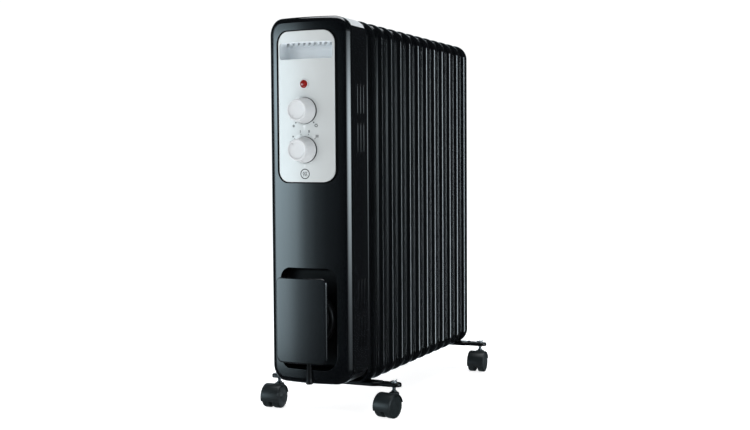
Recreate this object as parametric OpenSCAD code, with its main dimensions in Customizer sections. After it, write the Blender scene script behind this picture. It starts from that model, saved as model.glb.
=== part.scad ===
// Oil filled radiator heater: a column of pressed-steel fins on casters with a control box in front.
// +X is across the fins, +Y runs from the control box to the last fin, +Z is up, wheels stand on z = 0.

/* [Overall] */
// Height from the floor to the top of the fins and of the control box
overall_h = 648; // [620:1:680]

/* [Fins] */
// Number of fins
fin_count = 12; // [12:1:12]
// Distance from one fin to the next
fin_pitch = 41.4; // [38:0.2:44]
// Width of a fin at the crest of its rim
fin_w = 148; // [140:1:156]
// Height of the lowest point of a fin above the floor
fin_bottom = 51; // [49:0.5:52]
// Outer radius of a fin's corners
fin_r = 26; // [20:1:34]
// How far the crest of the rim stands out beyond its edges
rim_bulge = 4.5; // [1:0.5:5]
// Open seam between two fins
seam_gap = 1.6; // [1:0.2:3]
// Sheet thickness of the fins
sheet_t = 1.2; // [1:0.1:1.6]
// Thickness of the oil chamber across both pressed sheets
chamber_t = 12; // [9:1:16]

/* [Control box] */
// Width of the casing
case_w = 144; // [136:1:150]
// Height of the underside of the casing above the floor
case_bottom = 63; // [61:1:68]
// Depth of the casing's flat sides
case_d = 65; // [62:1:72]
// Radius of the casing's four front corners
case_r = 26; // [20:1:30]
// How far the crowned front stands out at its middle
crown = 15; // [11:1:16]
// Casing wall thickness
wall = 2.5; // [2:0.1:3]
// Height of the white insert that caps the casing at its top and bottom
insert_h = 15; // [12:1:18]
// Depth of the front bezel ahead of the inserts
bezel_d = 12; // [10:1:16]

/* [Control panel] */
// Width of the silver panel
panel_w = 99.4; // [97:0.2:103]
// Height of the silver panel
panel_h = 239; // [230:1:244]
// Corner radius of the panel
panel_r = 19; // [14:1:22]
// Distance from the casing's top down to the panel
panel_drop = 22.5; // [20:0.5:26]
// Width of the finger grip
grip_w = 94; // [86:1:96]
// Height of the finger grip
grip_h = 27; // [25:1:30]
// Depth of the finger grip behind the crest of the front
grip_d = 40; // [34:1:42]
// Height of the lamp above the panel's lower edge
lamp_up = 155; // [153:1:160]
// Height of the thermostat knob above the panel's lower edge
thermostat_up = 113; // [112:1:114]
// Height of the selector knob above the panel's lower edge
selector_up = 51; // [49:1:52]
// Diameter of a knob at its base
knob_d = 41; // [38:1:45]
// Diameter of a knob at its cap
knob_cap_d = 34; // [28:1:36]
// Length of a knob
knob_l = 27; // [20:1:28]

/* [Cord storage] */
// Width of the storage well
well_w = 101; // [98:1:104]
// Height of the storage well
well_h = 164; // [160:1:168]
// Height of the well's centre above the casing's underside
well_up = 104.5; // [103:0.5:106]
// Width of the cover plate
cover_w = 89; // [86:1:92]
// Height of the cover plate
cover_h = 136; // [130:1:140]
// Diameter of the mains cord
cord_d = 7.4; // [7.2:0.1:7.4]

/* [Feet] */
// Length of a foot bar
bar_l = 240; // [236:1:250]
// Depth of a foot bar at its middle
bar_d = 28; // [27:0.5:29]
// Height of a foot bar's pressed channel
bar_h = 6.5; // [5:0.5:7]
// Height of a foot bar's top above the floor
bar_top = 55; // [54:0.5:56]
// Distance of a caster stem from the middle plane
stem_x = 107; // [104:1:108]
// Diameter of a caster wheel
wheel_d = 38.5; // [36:0.5:39]
// Distance from the stem back to the wheel axle
caster_trail = 18; // [16:1:20]

/* [Hidden] */
$fn = 96;
fit = 0.05;

knob_gap = 0.8;
panel_proud = 1.2;
front_reach = crown + panel_proud + knob_gap + knob_l;
fin_start = case_d + 1;
fin_l = fin_pitch - seam_gap;
overall_d = front_reach + fin_start + fin_count * fin_pitch - seam_gap;
y_case = front_reach - overall_d / 2;
y_back = y_case + case_d;
y_face = y_case - crown;
crown_r = (case_w * case_w / 4 + crown * crown) / (2 * crown);
case_h = overall_h - case_bottom;
z_case = case_bottom + case_h / 2;

fin_h = overall_h - fin_bottom;
z_fin = fin_bottom + fin_h / 2;
hub_drop = 66;
hub_d = 66;
collar_d = 50;
collar_bore = 46;
hub_rows = [fin_bottom + hub_drop, overall_h - hub_drop];
channel_w = 15;
channel_step = 32;
header_h = 26;
flange_back = y_case + fin_start + fin_l / 2 - chamber_t / 2;
flange_l = 14;
flange_hex_r = 27;
element_angles = [0, 180];
element_offset = 11;
element_leg_r = 7;
element_l = 430;

panel_bottom = overall_h - panel_drop - panel_h;
z_panel = panel_bottom + panel_h / 2;
z_grip = overall_h - 53.5;
z_lamp = panel_bottom + lamp_up;
z_thermostat = panel_bottom + thermostat_up;
z_selector = panel_bottom + selector_up;
thermostat_turn = 280;
selector_turn = 90;
panel_front = y_face - panel_proud;
shadow_gap = 0.8;
panel_ledge = 1.2;

z_well = case_bottom + well_up;
well_r = 20;
well_floor = y_face + 32;
cover_back = y_face - 21;
cover_t = 6;
cover_r = 9;
spool_r = 29;
layer_step = cord_d + 0.1;
layer_1 = spool_r + 0.3 + cord_d / 2;
layer_2 = layer_1 + layer_step;
coil_front = y_face - 10;
coil_back = well_floor - 4;

// The lead's route from the boot in the lower lip up to the coil, measured from the well's centre
boot_x = 5;
boot_y = y_face - 2.5;
boot_top = case_bottom + 31;
lead_route = [
    [5, -2.5, -73.5], [5, -2.7, -67], [5, -3.2, -60], [6, -4.2, -51.5], [8.5, -5.4, -43], [12.5, -6.6, -35],
    [18, -7.4, -28.5], [23.5, -7.4, -23], [28.5, -7, -16.5], [32, -6.6, -8.5], [33, -6.2, 0]
];
// The tail's route from the coil down to the plug
tail_route = [
    [-40.5, 4, 0], [-40.5, 4, -6], [-40, 4.2, -12], [-38.5, 4.9, -18],
    [-36.2, 6, -24], [-34.6, 6.7, -30], [-34, 7, -36.5]
];
plug_x = -34;
plug_y = y_face + 13;
plug_z = z_well - 60.5;
plug_r = 16;
plug_t = 20;
plug_relief_l = 8;
plug_pin_gap = 19;
plug_pin_r = 2.4;
plug_pin_l = 17;

bar_bottom = bar_top - bar_h;
bar_rows = [y_case + fin_start + 22.1, y_case + fin_start + (fin_count - 1) * fin_pitch + 10];
// Distance of each U-bolt from its bar's middle line
bolt_shift = [7.5, 0];
stem_r = 3;
stem_foot = 28.5;
u_rod = 2.5;
u_bolt_r = collar_d / 2 + u_rod + 0.4;
axle_z = wheel_d / 2;
axle_r = 2.5;
wheel_w = 12.5;
wheel_in = 3.4;
hood_w = 2 * (wheel_in + wheel_w) + 1;
hood_top = 39.5;
// Side, foot bar and swivel angle of each caster
CASTERS = [[-1, 0, 0], [1, 0, -12], [-1, 1, -4], [1, 1, 3]];
CASTER_NAMES = ["front_left", "front_right", "rear_left", "rear_right"];
SIDES = ["left", "right"];

function fin_name(i) = str("fin_", i < 9 ? "0" : "", i + 1);
function wheel_name(i, k) = str("wheel_", CASTER_NAMES[i], "_", SIDES[k]);

// ---------- shared shapes ----------

// Rounded rectangle standing in the XZ plane, from y to y + d
module upright_plate(w, h, r, y, d, z) {
    translate([0, y + d, z])
        rotate([90, 0, 0])
            linear_extrude(d) rounded_rect(w, h, r);
}

module rounded_rect(w, h, r) {
    square([w - 2 * r, h], center = true);
    square([w, h - 2 * r], center = true);
    for (x = [-1, 1], y = [-1, 1])
        translate([x * (w / 2 - r), y * (h / 2 - r)]) circle(r);
}

// Cylinder along +Y from y
module rod_y(x, y, z, r, l) {
    translate([x, y + l, z]) rotate([90, 0, 0]) cylinder(r = r, h = l);
}

// The upright cylinder that the crowned front follows, moved outward by grow
module crown_body(grow) {
    translate([0, y_face + crown_r, 0]) cylinder(r = crown_r + grow, h = overall_h + 10, $fn = 200);
}

// ---------- fins and oil circuit ----------

// Section of the folded rim: a shallow arch across the fin, edge is its crest's place
module rim_section(edge) {
    steps = 8;
    outer = [for (i = [0 : steps]) [edge - rim_bulge * pow(2 * i / steps - 1, 2), fin_l * i / steps]];
    inner = [for (i = [steps : -1 : 0]) outer[i] - [sheet_t, 0]];
    polygon(concat(outer, inner));
}

module fin_rim() {
    straight_h = fin_h - 2 * fin_r;
    straight_w = fin_w - 2 * fin_r;
    for (side = [0, 1]) {
        mirror([side, 0, 0])
            translate([0, 0, -straight_h / 2])
                linear_extrude(straight_h) rim_section(fin_w / 2);
        mirror([0, 0, side])
            rotate([0, -90, 0])
                linear_extrude(straight_w, center = true) rim_section(fin_h / 2);
    }
    for (side = [0, 1], end = [0, 1])
        mirror([side, 0, 0])
            mirror([0, 0, end])
                translate([straight_w / 2, 0, -straight_h / 2])
                    rotate([90, 0, 0])
                        mirror([0, 0, 1])
                            mirror([0, 1, 0])
                                rotate_extrude(angle = 90) rim_section(fin_r);
}

// Outline of the oil chamber: two headers, three channels and a round boss at each hub
module chamber_outline(inset) {
    reach = fin_h / 2 - hub_drop;
    for (end = [-1, 1])
        translate([0, end * reach]) {
            circle(hub_d / 2 - inset);
            square([2 * channel_step + channel_w - 2 * inset, header_h - 2 * inset], center = true);
        }
    for (x = [-1 : 1])
        translate([x * channel_step, 0]) square([channel_w - 2 * inset, 2 * reach], center = true);
}

module chamber(inset) {
    thickness = chamber_t - 2 * inset;
    translate([0, thickness / 2, 0])
        rotate([90, 0, 0])
            linear_extrude(thickness) chamber_outline(inset);
}

module foot_notches() {
    for (y = bar_rows)
        translate([-fin_w, y - bar_d / 2 - 1, 0]) cube([2 * fin_w, bar_d + 2, bar_top + 0.8]);
}

module fin(i) {
    y = y_case + fin_start + i * fin_pitch;
    mid = y + fin_l / 2;
    color("#1b1f24")
        difference() {
            union() {
                translate([0, y, z_fin]) fin_rim();
                upright_plate(
                    fin_w - sheet_t, fin_h - sheet_t, fin_r - sheet_t / 2,
                    mid - sheet_t, 2 * sheet_t, z_fin
                );
                translate([0, mid, z_fin]) chamber(0);
            }
            translate([0, mid, z_fin]) chamber(sheet_t);
            for (z = hub_rows) rod_y(0, y, z, collar_bore / 2, fin_l);
            foot_notches();
        }
}

// Welded rings between the fins, end caps behind the last fin and the filler plug in front
module oil_collars() {
    first = y_case + fin_start + fin_l / 2;
    gap = fin_pitch - chamber_t;
    last = first + (fin_count - 1) * fin_pitch + chamber_t / 2;
    color("#23272c") {
        for (z = hub_rows, i = [0 : fin_count - 2])
            ring_y(first + i * fin_pitch + chamber_t / 2, z, collar_d / 2, collar_bore / 2, gap);
        for (z = hub_rows) {
            rod_y(0, last, z, collar_d / 2, 4);
            rod_y(0, last + 4, z, collar_d / 2 - 6, 3);
        }
        rod_y(0, first - chamber_t / 2 - 4, hub_rows[1], collar_d / 2, 4);
        rod_y(0, first - chamber_t / 2 - 9, hub_rows[1], 9, 5);
    }
}

module ring_y(y, z, r_out, r_in, l) {
    difference() {
        rod_y(0, y, z, r_out, l);
        rod_y(0, y - 1, z, r_in, l + 2);
    }
}

// Threaded boss and hexagonal flange that close the front of the lower row of collars
module element_flange() {
    color("#b6b4ab")
        difference() {
            union() {
                rod_y(0, flange_back - flange_l, hub_rows[0], collar_d / 2, flange_l);
                translate([0, flange_back - flange_l, hub_rows[0]])
                    rotate([90, 0, 0]) cylinder(r = flange_hex_r, h = 6, $fn = 6);
            }
            element_places() rod_y(0, -40, 0, 4, 60);
        }
}

// The four legs of the two U-shaped elements, seen from the flange
module element_places() {
    for (a = element_angles, leg = [-1, 1])
        translate([
            element_offset * cos(a) - leg * element_leg_r * sin(a),
            flange_back,
            hub_rows[0] + element_offset * sin(a) + leg * element_leg_r * cos(a)
        ]) children();
}

module heating_elements() {
    color("#8f8a80") {
        element_places() rod_y(0, -26, 0, 4, element_l + 26);
        for (a = element_angles)
            translate([
                element_offset * cos(a),
                flange_back + element_l,
                hub_rows[0] + element_offset * sin(a)
            ])
                rotate([0, -90 - a, 0])
                    rotate_extrude(angle = 180) translate([element_leg_r, 0]) circle(4);
        element_places() rod_y(0, -38, 0, 1.6, 12);
    }
}

// ---------- control box ----------

module case_outer() {
    intersection() {
        upright_plate(case_w, case_h, case_r, y_face - 1, case_d + crown + 1, z_case);
        crown_body(0);
    }
}

module case_hollow() {
    intersection() {
        upright_plate(
            case_w - 2 * wall, case_h - 2 * wall, case_r - wall,
            y_face - 1, case_d + crown + 2, z_case
        );
        crown_body(-wall);
    }
}

// Four rows of upright vent slots in each side wall
module side_vents() {
    rows = [[464.5, 48], [401.5, 48], [143.5, 46], [80.5, 50]];
    for (row = rows, i = [0 : 2], side = [-1, 1])
        translate([side * case_w / 2, y_case + 31 + 11.5 * i, row[0] + case_bottom])
            cube([12, 3, row[1]], center = true);
}

module front_casing() {
    insert_zone_y = y_case + bezel_d;
    color("#14171b")
        difference() {
            case_outer();
            case_hollow();
            for (z = [case_bottom - 1, overall_h - insert_h])
                translate([-case_w, insert_zone_y, z]) cube([2 * case_w, case_d, insert_h + 1]);
            upright_plate(
                panel_w - 2 * panel_ledge, panel_h - 2 * panel_ledge, panel_r - panel_ledge,
                y_face - 5, 30, z_panel
            );
            difference() {
                upright_plate(
                    panel_w + 2 * shadow_gap, panel_h + 2 * shadow_gap, panel_r + shadow_gap,
                    y_face - 5, 14, z_panel
                );
                crown_body(-1);
            }
            upright_plate(well_w, well_h, well_r, y_face - 5, 30, z_well);
            translate([boot_x, boot_y, case_bottom - 1]) cylinder(r = 6, h = 30);
            side_vents();
        }
}

// Cap of the casing behind the bezel; end is 1 for the top one and -1 for the bottom one
module casing_insert(end) {
    back_gap = 1.5;
    depth = case_d - bezel_d - back_gap - 0.3;
    edge = end > 0 ? overall_h - insert_h : case_bottom;
    intersection() {
        difference() {
            upright_plate(case_w, case_h, case_r, y_case + bezel_d + 0.3, depth, z_case);
            upright_plate(case_w - 4, case_h - 4, case_r - 2, y_case, case_d - back_gap - 2, z_case);
        }
        translate([-case_w, y_case, edge + (end > 0 ? 0.3 : 0)]) cube([2 * case_w, case_d, insert_h - 0.3]);
    }
}

// Slots through a casing insert, in rows of slots that run along Y
module insert_slots(z) {
    for (i = [-5 : 5])
        translate([i * 9.5, y_case + bezel_d + 22, z]) cube([4, 32, 12], center = true);
}

module top_insert() {
    color("#eef0f0")
        difference() {
            casing_insert(1);
            insert_slots(overall_h);
        }
}

module bottom_insert() {
    color("#2b2f33")
        difference() {
            casing_insert(-1);
            insert_slots(case_bottom);
        }
}

// Sheet-steel back of the control box, with openings for the element flange and the filler boss
module rear_plate() {
    color("#8b9094")
        difference() {
            upright_plate(case_w - 6, case_h - 6, case_r - 3, y_back - 1.2, 1.2, z_case);
            rod_y(0, y_back - 5, hub_rows[0], 30, 10);
            rod_y(0, y_back - 5, hub_rows[1], 12, 10);
            screw_places() rod_y(0, -6, 0, 2, 12);
        }
}

module screw_places() {
    for (x = [-1, 1], z = [case_bottom + 36, z_case - 10, overall_h - 36])
        translate([x * 60, y_back, z]) children();
}

module casing_screws() {
    color("#c9ccce")
        screw_places() {
            rod_y(0, -12, 0, 1.9, 12);
            rod_y(0, 0, 0, 3.6, 0.9);
        }
}

// ---------- control panel ----------

module control_panel() {
    color("#d5dadb")
        difference() {
            intersection() {
                upright_plate(panel_w, panel_h, panel_r, panel_front - 2, 14, z_panel);
                crown_body(panel_proud);
            }
            crown_body(-0.9);
            upright_plate(grip_w, grip_h, 9, panel_front - 3, 30, z_grip);
            rod_y(0, panel_front - 3, z_lamp, 6.2, 30);
            for (z = [z_thermostat, z_selector]) rod_y(0, panel_front - 3, z, 5.2, 30);
        }
}

// Finger grip: a pocket behind the panel, its ceiling slotted for the warm air
module grip_recess() {
    y_front = y_face + 1.3;
    color("#c6cbcc")
        difference() {
            upright_plate(grip_w + 2.6, grip_h + 2.6, 10.3, y_front, grip_d, z_grip);
            upright_plate(grip_w, grip_h, 9, y_face - 5, grip_d + 4, z_grip);
            ahead_of_crown(-1);
            for (i = [-4 : 4])
                translate([i * 10, y_face + 21, z_grip + grip_h / 2 + 1]) cube([3.4, 24, 6], center = true);
        }
}

// Everything ahead of the crowned front moved outward by grow
module ahead_of_crown(grow) {
    difference() {
        translate([-case_w, y_face - 5, case_bottom]) cube([2 * case_w, 20, case_h]);
        crown_body(grow);
    }
}

module lamp_rim() {
    color("#26292c")
        difference() {
            union() {
                rod_y(0, panel_front - 1.5, z_lamp, 8, 1.4);
                rod_y(0, panel_front - 0.2, z_lamp, 6.1, 16);
            }
            rod_y(0, panel_front - 3, z_lamp, 5, 17);
            for (x = [-1, 1]) rod_y(x, panel_front + 11, z_lamp, 0.7, 8);
        }
}

module lamp_lens() {
    dome_r = 8.5;
    color("#c4161c")
        difference() {
            union() {
                rod_y(0, panel_front - 1.6, z_lamp, 4.95, 12);
                intersection() {
                    translate([0, panel_front - 4.6 + dome_r, z_lamp]) sphere(dome_r);
                    rod_y(0, panel_front - 6, z_lamp, 4.95, 5);
                }
            }
            rod_y(0, panel_front + 1, z_lamp, 3.6, 12);
        }
}

module neon_lamp() {
    color("#f0a060")
        union() {
            rod_y(0, panel_front + 2, z_lamp, 2.4, 9);
            rod_y(-1, panel_front + 11, z_lamp, 0.4, 12);
            rod_y(1, panel_front + 11, z_lamp, 0.4, 12);
        }
}

// A switch unit behind the panel: housing, threaded bush and blade terminals
module switch_unit(z, w, h, d, terminals) {
    housing_front = panel_front + 5;
    difference() {
        union() {
            translate([-w / 2, housing_front, z - h / 2]) cube([w, d, h]);
            rod_y(0, panel_front + 0.2, z, 5, 5);
        }
        rod_y(0, panel_front - 1, z, 3 + fit, 6 + d / 2);
    }
    for (i = [0 : terminals - 1])
        translate([(i - (terminals - 1) / 2) * 9 - 3.15, housing_front + d, z - 6])
            cube([6.3, 8, 0.8]);
}

module thermostat_body() {
    color("#d8d2c0") switch_unit(z_thermostat, 34, 40, 26, 2);
}

module selector_body() {
    color("#303338") switch_unit(z_selector, 32, 32, 24, 3);
}

module knob_shaft(z, d) {
    rod_y(0, panel_front - 18, z, 3, 18 + 5 + d / 2 - 1);
}

module thermostat_shaft() {
    color("#c8c8c4") knob_shaft(z_thermostat, 26);
}

module selector_shaft() {
    color("#c8c8c4") knob_shaft(z_selector, 24);
}

// Tapered body of a knob, grown outward by grow
module knob_taper(grow) {
    rotate([90, 0, 0]) {
        cylinder(r = knob_d / 2 + grow, h = 3);
        translate([0, 0, 3])
            cylinder(r1 = knob_d / 2 - 1 + grow, r2 = knob_cap_d / 2 + grow, h = knob_l - 5);
    }
}

// Knob with a skirt, a shallow dish in its cap and a raised pointer rib at an angle clockwise from up
module knob(z, pointer) {
    translate([0, panel_front - knob_gap, z]) {
        difference() {
            union() {
                knob_taper(0);
                rod_y(0, -knob_l, 0, knob_cap_d / 2 - 0.8, 3);
            }
            rod_y(0, -knob_l - 1, 0, knob_cap_d / 2 - 3, 1.6);
            rod_y(0, -17.2, 0, 3, 18);
        }
        intersection() {
            knob_taper(0.8);
            rotate([0, pointer, 0]) translate([-1, -knob_l, knob_cap_d / 2 - 2]) cube([2, knob_l - 3.5, 10]);
        }
    }
}

module thermostat_knob() {
    color("#dcdfe0") knob(z_thermostat, -thermostat_turn / 2);
}

module selector_knob() {
    color("#dcdfe0") knob(z_selector, -selector_turn / 2);
}

// ---------- parts behind the panel ----------

module thermal_cutout() {
    z = z_case + 70;
    color("#e6e0d0") {
        rod_y(-34, y_back - 10, z, 8, 8.8);
        translate([-46, y_back - 2.2, z - 5]) cube([24, 1, 10]);
        for (x = [-38, -30.5]) translate([x - 0.4, y_back - 18, z - 3]) cube([0.8, 8, 6.3]);
    }
}

module tip_over_switch() {
    color("#202226") {
        translate([26, y_back - 22, case_bottom + 196]) cube([22, 20.8, 34]);
        translate([31, y_back - 24, case_bottom + 205]) cube([12, 2, 12]);
    }
}

module terminal_block() {
    color("#f2f2ee")
        difference() {
            translate([-58, y_back - 20, case_bottom + 196]) cube([36, 18.8, 20]);
            for (i = [0 : 2]) rod_y(-51 + 11 * i, y_back - 21, case_bottom + 206, 3, 8);
        }
}

// Insulated leads between the terminal block, the switches and the elements
module wiring() {
    y = y_back - 28;
    color("#7a2a22") {
        lead_z(-51, y, case_bottom + 222, 330);
        lead_z(-40, y, case_bottom + 222, 262);
        lead_z(51, y, case_bottom + 120, 360);
        lead_z(-29, y + 2, case_bottom + 96, 92);
    }
}

module lead_z(x, y, z, l) {
    translate([x, y, z]) {
        cylinder(r = 1.7, h = l);
        sphere(1.7);
        translate([0, 0, l]) sphere(1.7);
    }
}

// ---------- cord storage ----------

module cord_well() {
    color("#101214")
        difference() {
            upright_plate(
                well_w + 4, well_h + 4, well_r + 2,
                y_face + 1, well_floor + 1 - y_face, z_well
            );
            upright_plate(well_w, well_h, well_r, y_face - 3, well_floor - y_face + 3, z_well);
            ahead_of_crown(-wall - 0.1);
        }
}

// Hollow hub that the cord is wound on, closed by the cover plate
module cord_spool() {
    color("#15181b")
        difference() {
            rod_y(0, cover_back, z_well, spool_r, well_floor - cover_back);
            rod_y(0, cover_back + 3, z_well, spool_r - 2.5, well_floor - cover_back);
        }
}

module cord_cover() {
    color("#1d2126")
        difference() {
            upright_plate(cover_w, cover_h, cover_r, cover_back - cover_t + 2.5, cover_t, z_well);
            upright_plate(cover_w - 5, cover_h - 5, cover_r - 2.5, cover_back, cover_t, z_well);
        }
}

// Tapered strain relief in a notch of the well's lower lip
module cord_boot() {
    base = case_bottom + 1;
    color("#141619")
        translate([boot_x, boot_y, base]) {
            cylinder(r = 5.4, h = 8);
            translate([0, 0, 8]) cylinder(r1 = 5, r2 = 4.1, h = boot_top - base - 8);
        }
}

function unit(v) = v / norm(v);

// Direction of a route at point i
function heading(route, i) =
    unit(route[min(i + 1, len(route) - 1)] - route[max(i - 1, 0)]);

// Tube swept along a route, one ring of the cord's radius at each point
module cord_tube(route) {
    sides = 10;
    rings = len(route);
    across = [0, 1, 0];
    points = [
        for (i = [0 : rings - 1])
            let (t = heading(route, i), u = unit(cross(across, t)), v = cross(t, u))
                for (k = [0 : sides - 1])
                    route[i] + cord_d / 2 * (u * cos(360 * k / sides) + v * sin(360 * k / sides))
    ];
    walls = [
        for (i = [0 : rings - 2], k = [0 : sides - 1])
            let (n = (k + 1) % sides)
                [i * sides + k, (i + 1) * sides + k, (i + 1) * sides + n, i * sides + n]
    ];
    first_cap = [[for (k = [0 : sides - 1]) k]];
    last_cap = [[for (k = [sides - 1 : -1 : 0]) (rings - 1) * sides + k]];
    polyhedron(points, concat(first_cap, walls, last_cap));
}

module cord_lead() {
    color("#0e0f11") translate([0, y_face, z_well]) cord_tube(lead_route);
}

module cord_tail() {
    color("#0e0f11") translate([0, y_face, z_well]) cord_tube(tail_route);
}

// Outer shape of the winding: a long inner layer and a shorter outer one
module cord_coil() {
    r0 = spool_r + 0.1;
    r1 = layer_1 + cord_d / 2;
    r2 = layer_2 + cord_d / 2;
    step_y = coil_front + 10;
    color("#0e0f11")
        translate([0, coil_back, z_well])
            rotate([90, 0, 0])
                rotate_extrude()
                    polygon([
                        [r0, 0], [r2, 0], [r2, coil_back - step_y],
                        [r1, coil_back - step_y], [r1, coil_back - coil_front], [r0, coil_back - coil_front]
                    ]);
}

// Flat moulded plug, its cord leaving upward and its pins pointing to +X
module plug_body() {
    color("#121316") {
        rod_x(plug_x - plug_t / 2, plug_y, plug_z, plug_r, plug_t);
        translate([plug_x, plug_y - 6, plug_z]) cylinder(r1 = 8, r2 = 4.6, h = plug_r + plug_relief_l);
    }
}

module plug_pins() {
    color("#d8d4c4")
        for (side = [-1, 1])
            translate([plug_x + plug_t / 2, plug_y, plug_z + side * plug_pin_gap / 2]) {
                rotate([0, 90, 0]) cylinder(r = plug_pin_r, h = plug_pin_l);
                translate([plug_pin_l, 0, 0]) rotate([0, 90, 0]) cylinder(r1 = plug_pin_r, r2 = 1.6, h = 2);
            }
}

// ---------- feet ----------

module bar_outline(inset) {
    tip_r = 9;
    square([156 - 2 * inset, bar_d - 2 * inset], center = true);
    square([bar_l - 2 * tip_r, 2 * (tip_r - inset)], center = true);
    for (x = [-1, 1]) translate([x * (bar_l / 2 - tip_r), 0]) circle(tip_r - inset);
}

// Pressed channel with stem holes near its ends and U-bolt holes by its middle
module foot_bar(row) {
    translate([0, bar_rows[row], 0])
        difference() {
            translate([0, 0, bar_bottom]) linear_extrude(bar_h) bar_outline(0);
            translate([0, 0, bar_bottom - 1]) linear_extrude(bar_h - 0.5) bar_outline(1.5);
            for (x = [-stem_x, stem_x])
                translate([x, 0, bar_bottom]) cylinder(r = stem_r + 0.2, h = 20);
            for (x = [-u_bolt_r, u_bolt_r])
                translate([x, bolt_shift[row], bar_bottom]) cylinder(r = u_rod + 0.2, h = 20);
        }
}

module foot_bar_front() {
    color("#15181b") foot_bar(0);
}

module foot_bar_rear() {
    color("#15181b") foot_bar(1);
}

// U-bolt over the lower collar
module u_bolt() {
    legs = hub_rows[0] - bar_bottom + 4;
    translate([0, 0, hub_rows[0]]) {
        rotate([90, 0, 0]) rotate_extrude(angle = 180) translate([u_bolt_r, 0]) circle(u_rod);
        for (x = [-1, 1]) translate([x * u_bolt_r, 0, -legs]) cylinder(r = u_rod, h = legs);
    }
}

module hex_nut(z) {
    translate([0, 0, z])
        difference() {
            cylinder(r = 4.6, h = 4, $fn = 6);
            translate([0, 0, -1]) cylinder(r = u_rod, h = 6);
        }
}

module wing_nut(z) {
    translate([0, 0, z]) {
        difference() {
            union() {
                cylinder(r = 5.5, h = 3.5);
                translate([-11, -1, 1]) cube([22, 2, 5]);
            }
            translate([0, 0, -1]) cylinder(r = stem_r, h = 10);
        }
    }
}

module foot_fasteners() {
    color("#c3c7c9")
        for (row = [0, 1])
            translate([0, bar_rows[row], 0]) {
                translate([0, bolt_shift[row], 0]) {
                    u_bolt();
                    for (x = [-1, 1]) translate([x * u_bolt_r, 0, 0]) hex_nut(bar_top - 5.7);
                }
                for (x = [-1, 1]) translate([x * stem_x, 0, 0]) wing_nut(bar_top);
            }
}

// Plated stems: threaded end in the foot bar, collar, and a plain pin that the hood turns on
module caster_stems() {
    color("#dfe2e4")
        for (c = CASTERS)
            at_caster(c) {
                translate([0, 0, stem_foot]) cylinder(r = stem_r, h = bar_top + 7.5 - stem_foot);
                translate([0, 0, hood_top + 0.4]) cylinder(r = 4.6, h = 2);
                translate([0, 0, bar_bottom + bar_h - 5.1]) cylinder(r = 5, h = 3.6);
            }
}

// ---------- casters ----------

module rod_x(x, y, z, r, l) {
    translate([x, y, z]) rotate([0, 90, 0]) cylinder(r = r, h = l);
}

module at_caster(c) {
    translate([c[0] * stem_x, bar_rows[c[1]], 0]) rotate([0, 0, c[2]]) children();
}

// Hood over both wheels with the swivel boss, centre web and moulded axle
module caster_hood(c) {
    hood_r = wheel_d / 2 + 2.2;
    inner_r = wheel_d / 2 + 0.8;
    skirt_z = 13;
    color("#202429")
        at_caster(c) {
            difference() {
                union() {
                    rod_x(-hood_w / 2, -caster_trail, axle_z, hood_r, hood_w);
                    translate([0, 0, 24]) cylinder(r = 8.5, h = hood_top - 24);
                    translate([-8.5, -caster_trail, 26]) cube([17, caster_trail, 10]);
                }
                for (side = [0, 1])
                    mirror([side, 0, 0])
                        rod_x(wheel_in - 0.6, -caster_trail, axle_z, inner_r, hood_w);
                translate([-hood_w, -2 * hood_w, skirt_z - 20]) cube([2 * hood_w, 4 * hood_w, 20]);
                translate([-hood_w, 8 - caster_trail, -10]) cube([2 * hood_w, 2 * hood_w, 34]);
                cylinder(r = stem_r + fit, h = hood_top + 1);
            }
            rod_x(-wheel_in - 9, -caster_trail, axle_z, axle_r, 2 * (wheel_in + 9));
        }
}

// Wheel of a twin pair with a dished outer face, blind-bored for the axle; side is -1 or 1
module caster_wheel(c, side) {
    color("#2a2e33")
        at_caster(c)
            translate([0, -caster_trail, axle_z])
                mirror([side < 0 ? 1 : 0, 0, 0])
                    difference() {
                        union() {
                            rod_x(wheel_in, 0, 0, wheel_d / 2, wheel_w - 1.5);
                            rod_x(wheel_in + wheel_w - 1.5, 0, 0, wheel_d / 2 - 1.5, 1.5);
                        }
                        rod_x(wheel_in - 1, 0, 0, axle_r + fit, 10.5);
                        ring_recess();
                    }
}

// Dished ring in the outer face of a wheel
module ring_recess() {
    difference() {
        rod_x(wheel_in + wheel_w - 0.8, 0, 0, wheel_d / 2 - 4, 2);
        rod_x(wheel_in + wheel_w - 1, 0, 0, 6, 3);
    }
}

// ---------- the parts ----------

for (i = [0 : fin_count - 1])
    fin(i);
oil_collars();
heating_elements();
element_flange();
front_casing();
top_insert();
bottom_insert();
rear_plate();
casing_screws();
control_panel();
grip_recess();
lamp_rim();
lamp_lens();
neon_lamp();
thermostat_body();
thermostat_shaft();
thermostat_knob();
selector_body();
selector_shaft();
selector_knob();
thermal_cutout();
tip_over_switch();
terminal_block();
wiring();
cord_well();
cord_spool();
cord_cover();
cord_boot();
cord_lead();
cord_coil();
cord_tail();
plug_body();
plug_pins();
foot_bar_front();
foot_bar_rear();
foot_fasteners();
caster_stems();
for (i = [0 : 3])
    caster_hood(CASTERS[i]);
for (i = [0 : 3], k = [0, 1])
    caster_wheel(CASTERS[i], 2 * k - 1);
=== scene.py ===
from math import copysign, cos, hypot, pi, radians, sin, sqrt

import bmesh
import bpy
from mathutils import Matrix, Vector


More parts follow.
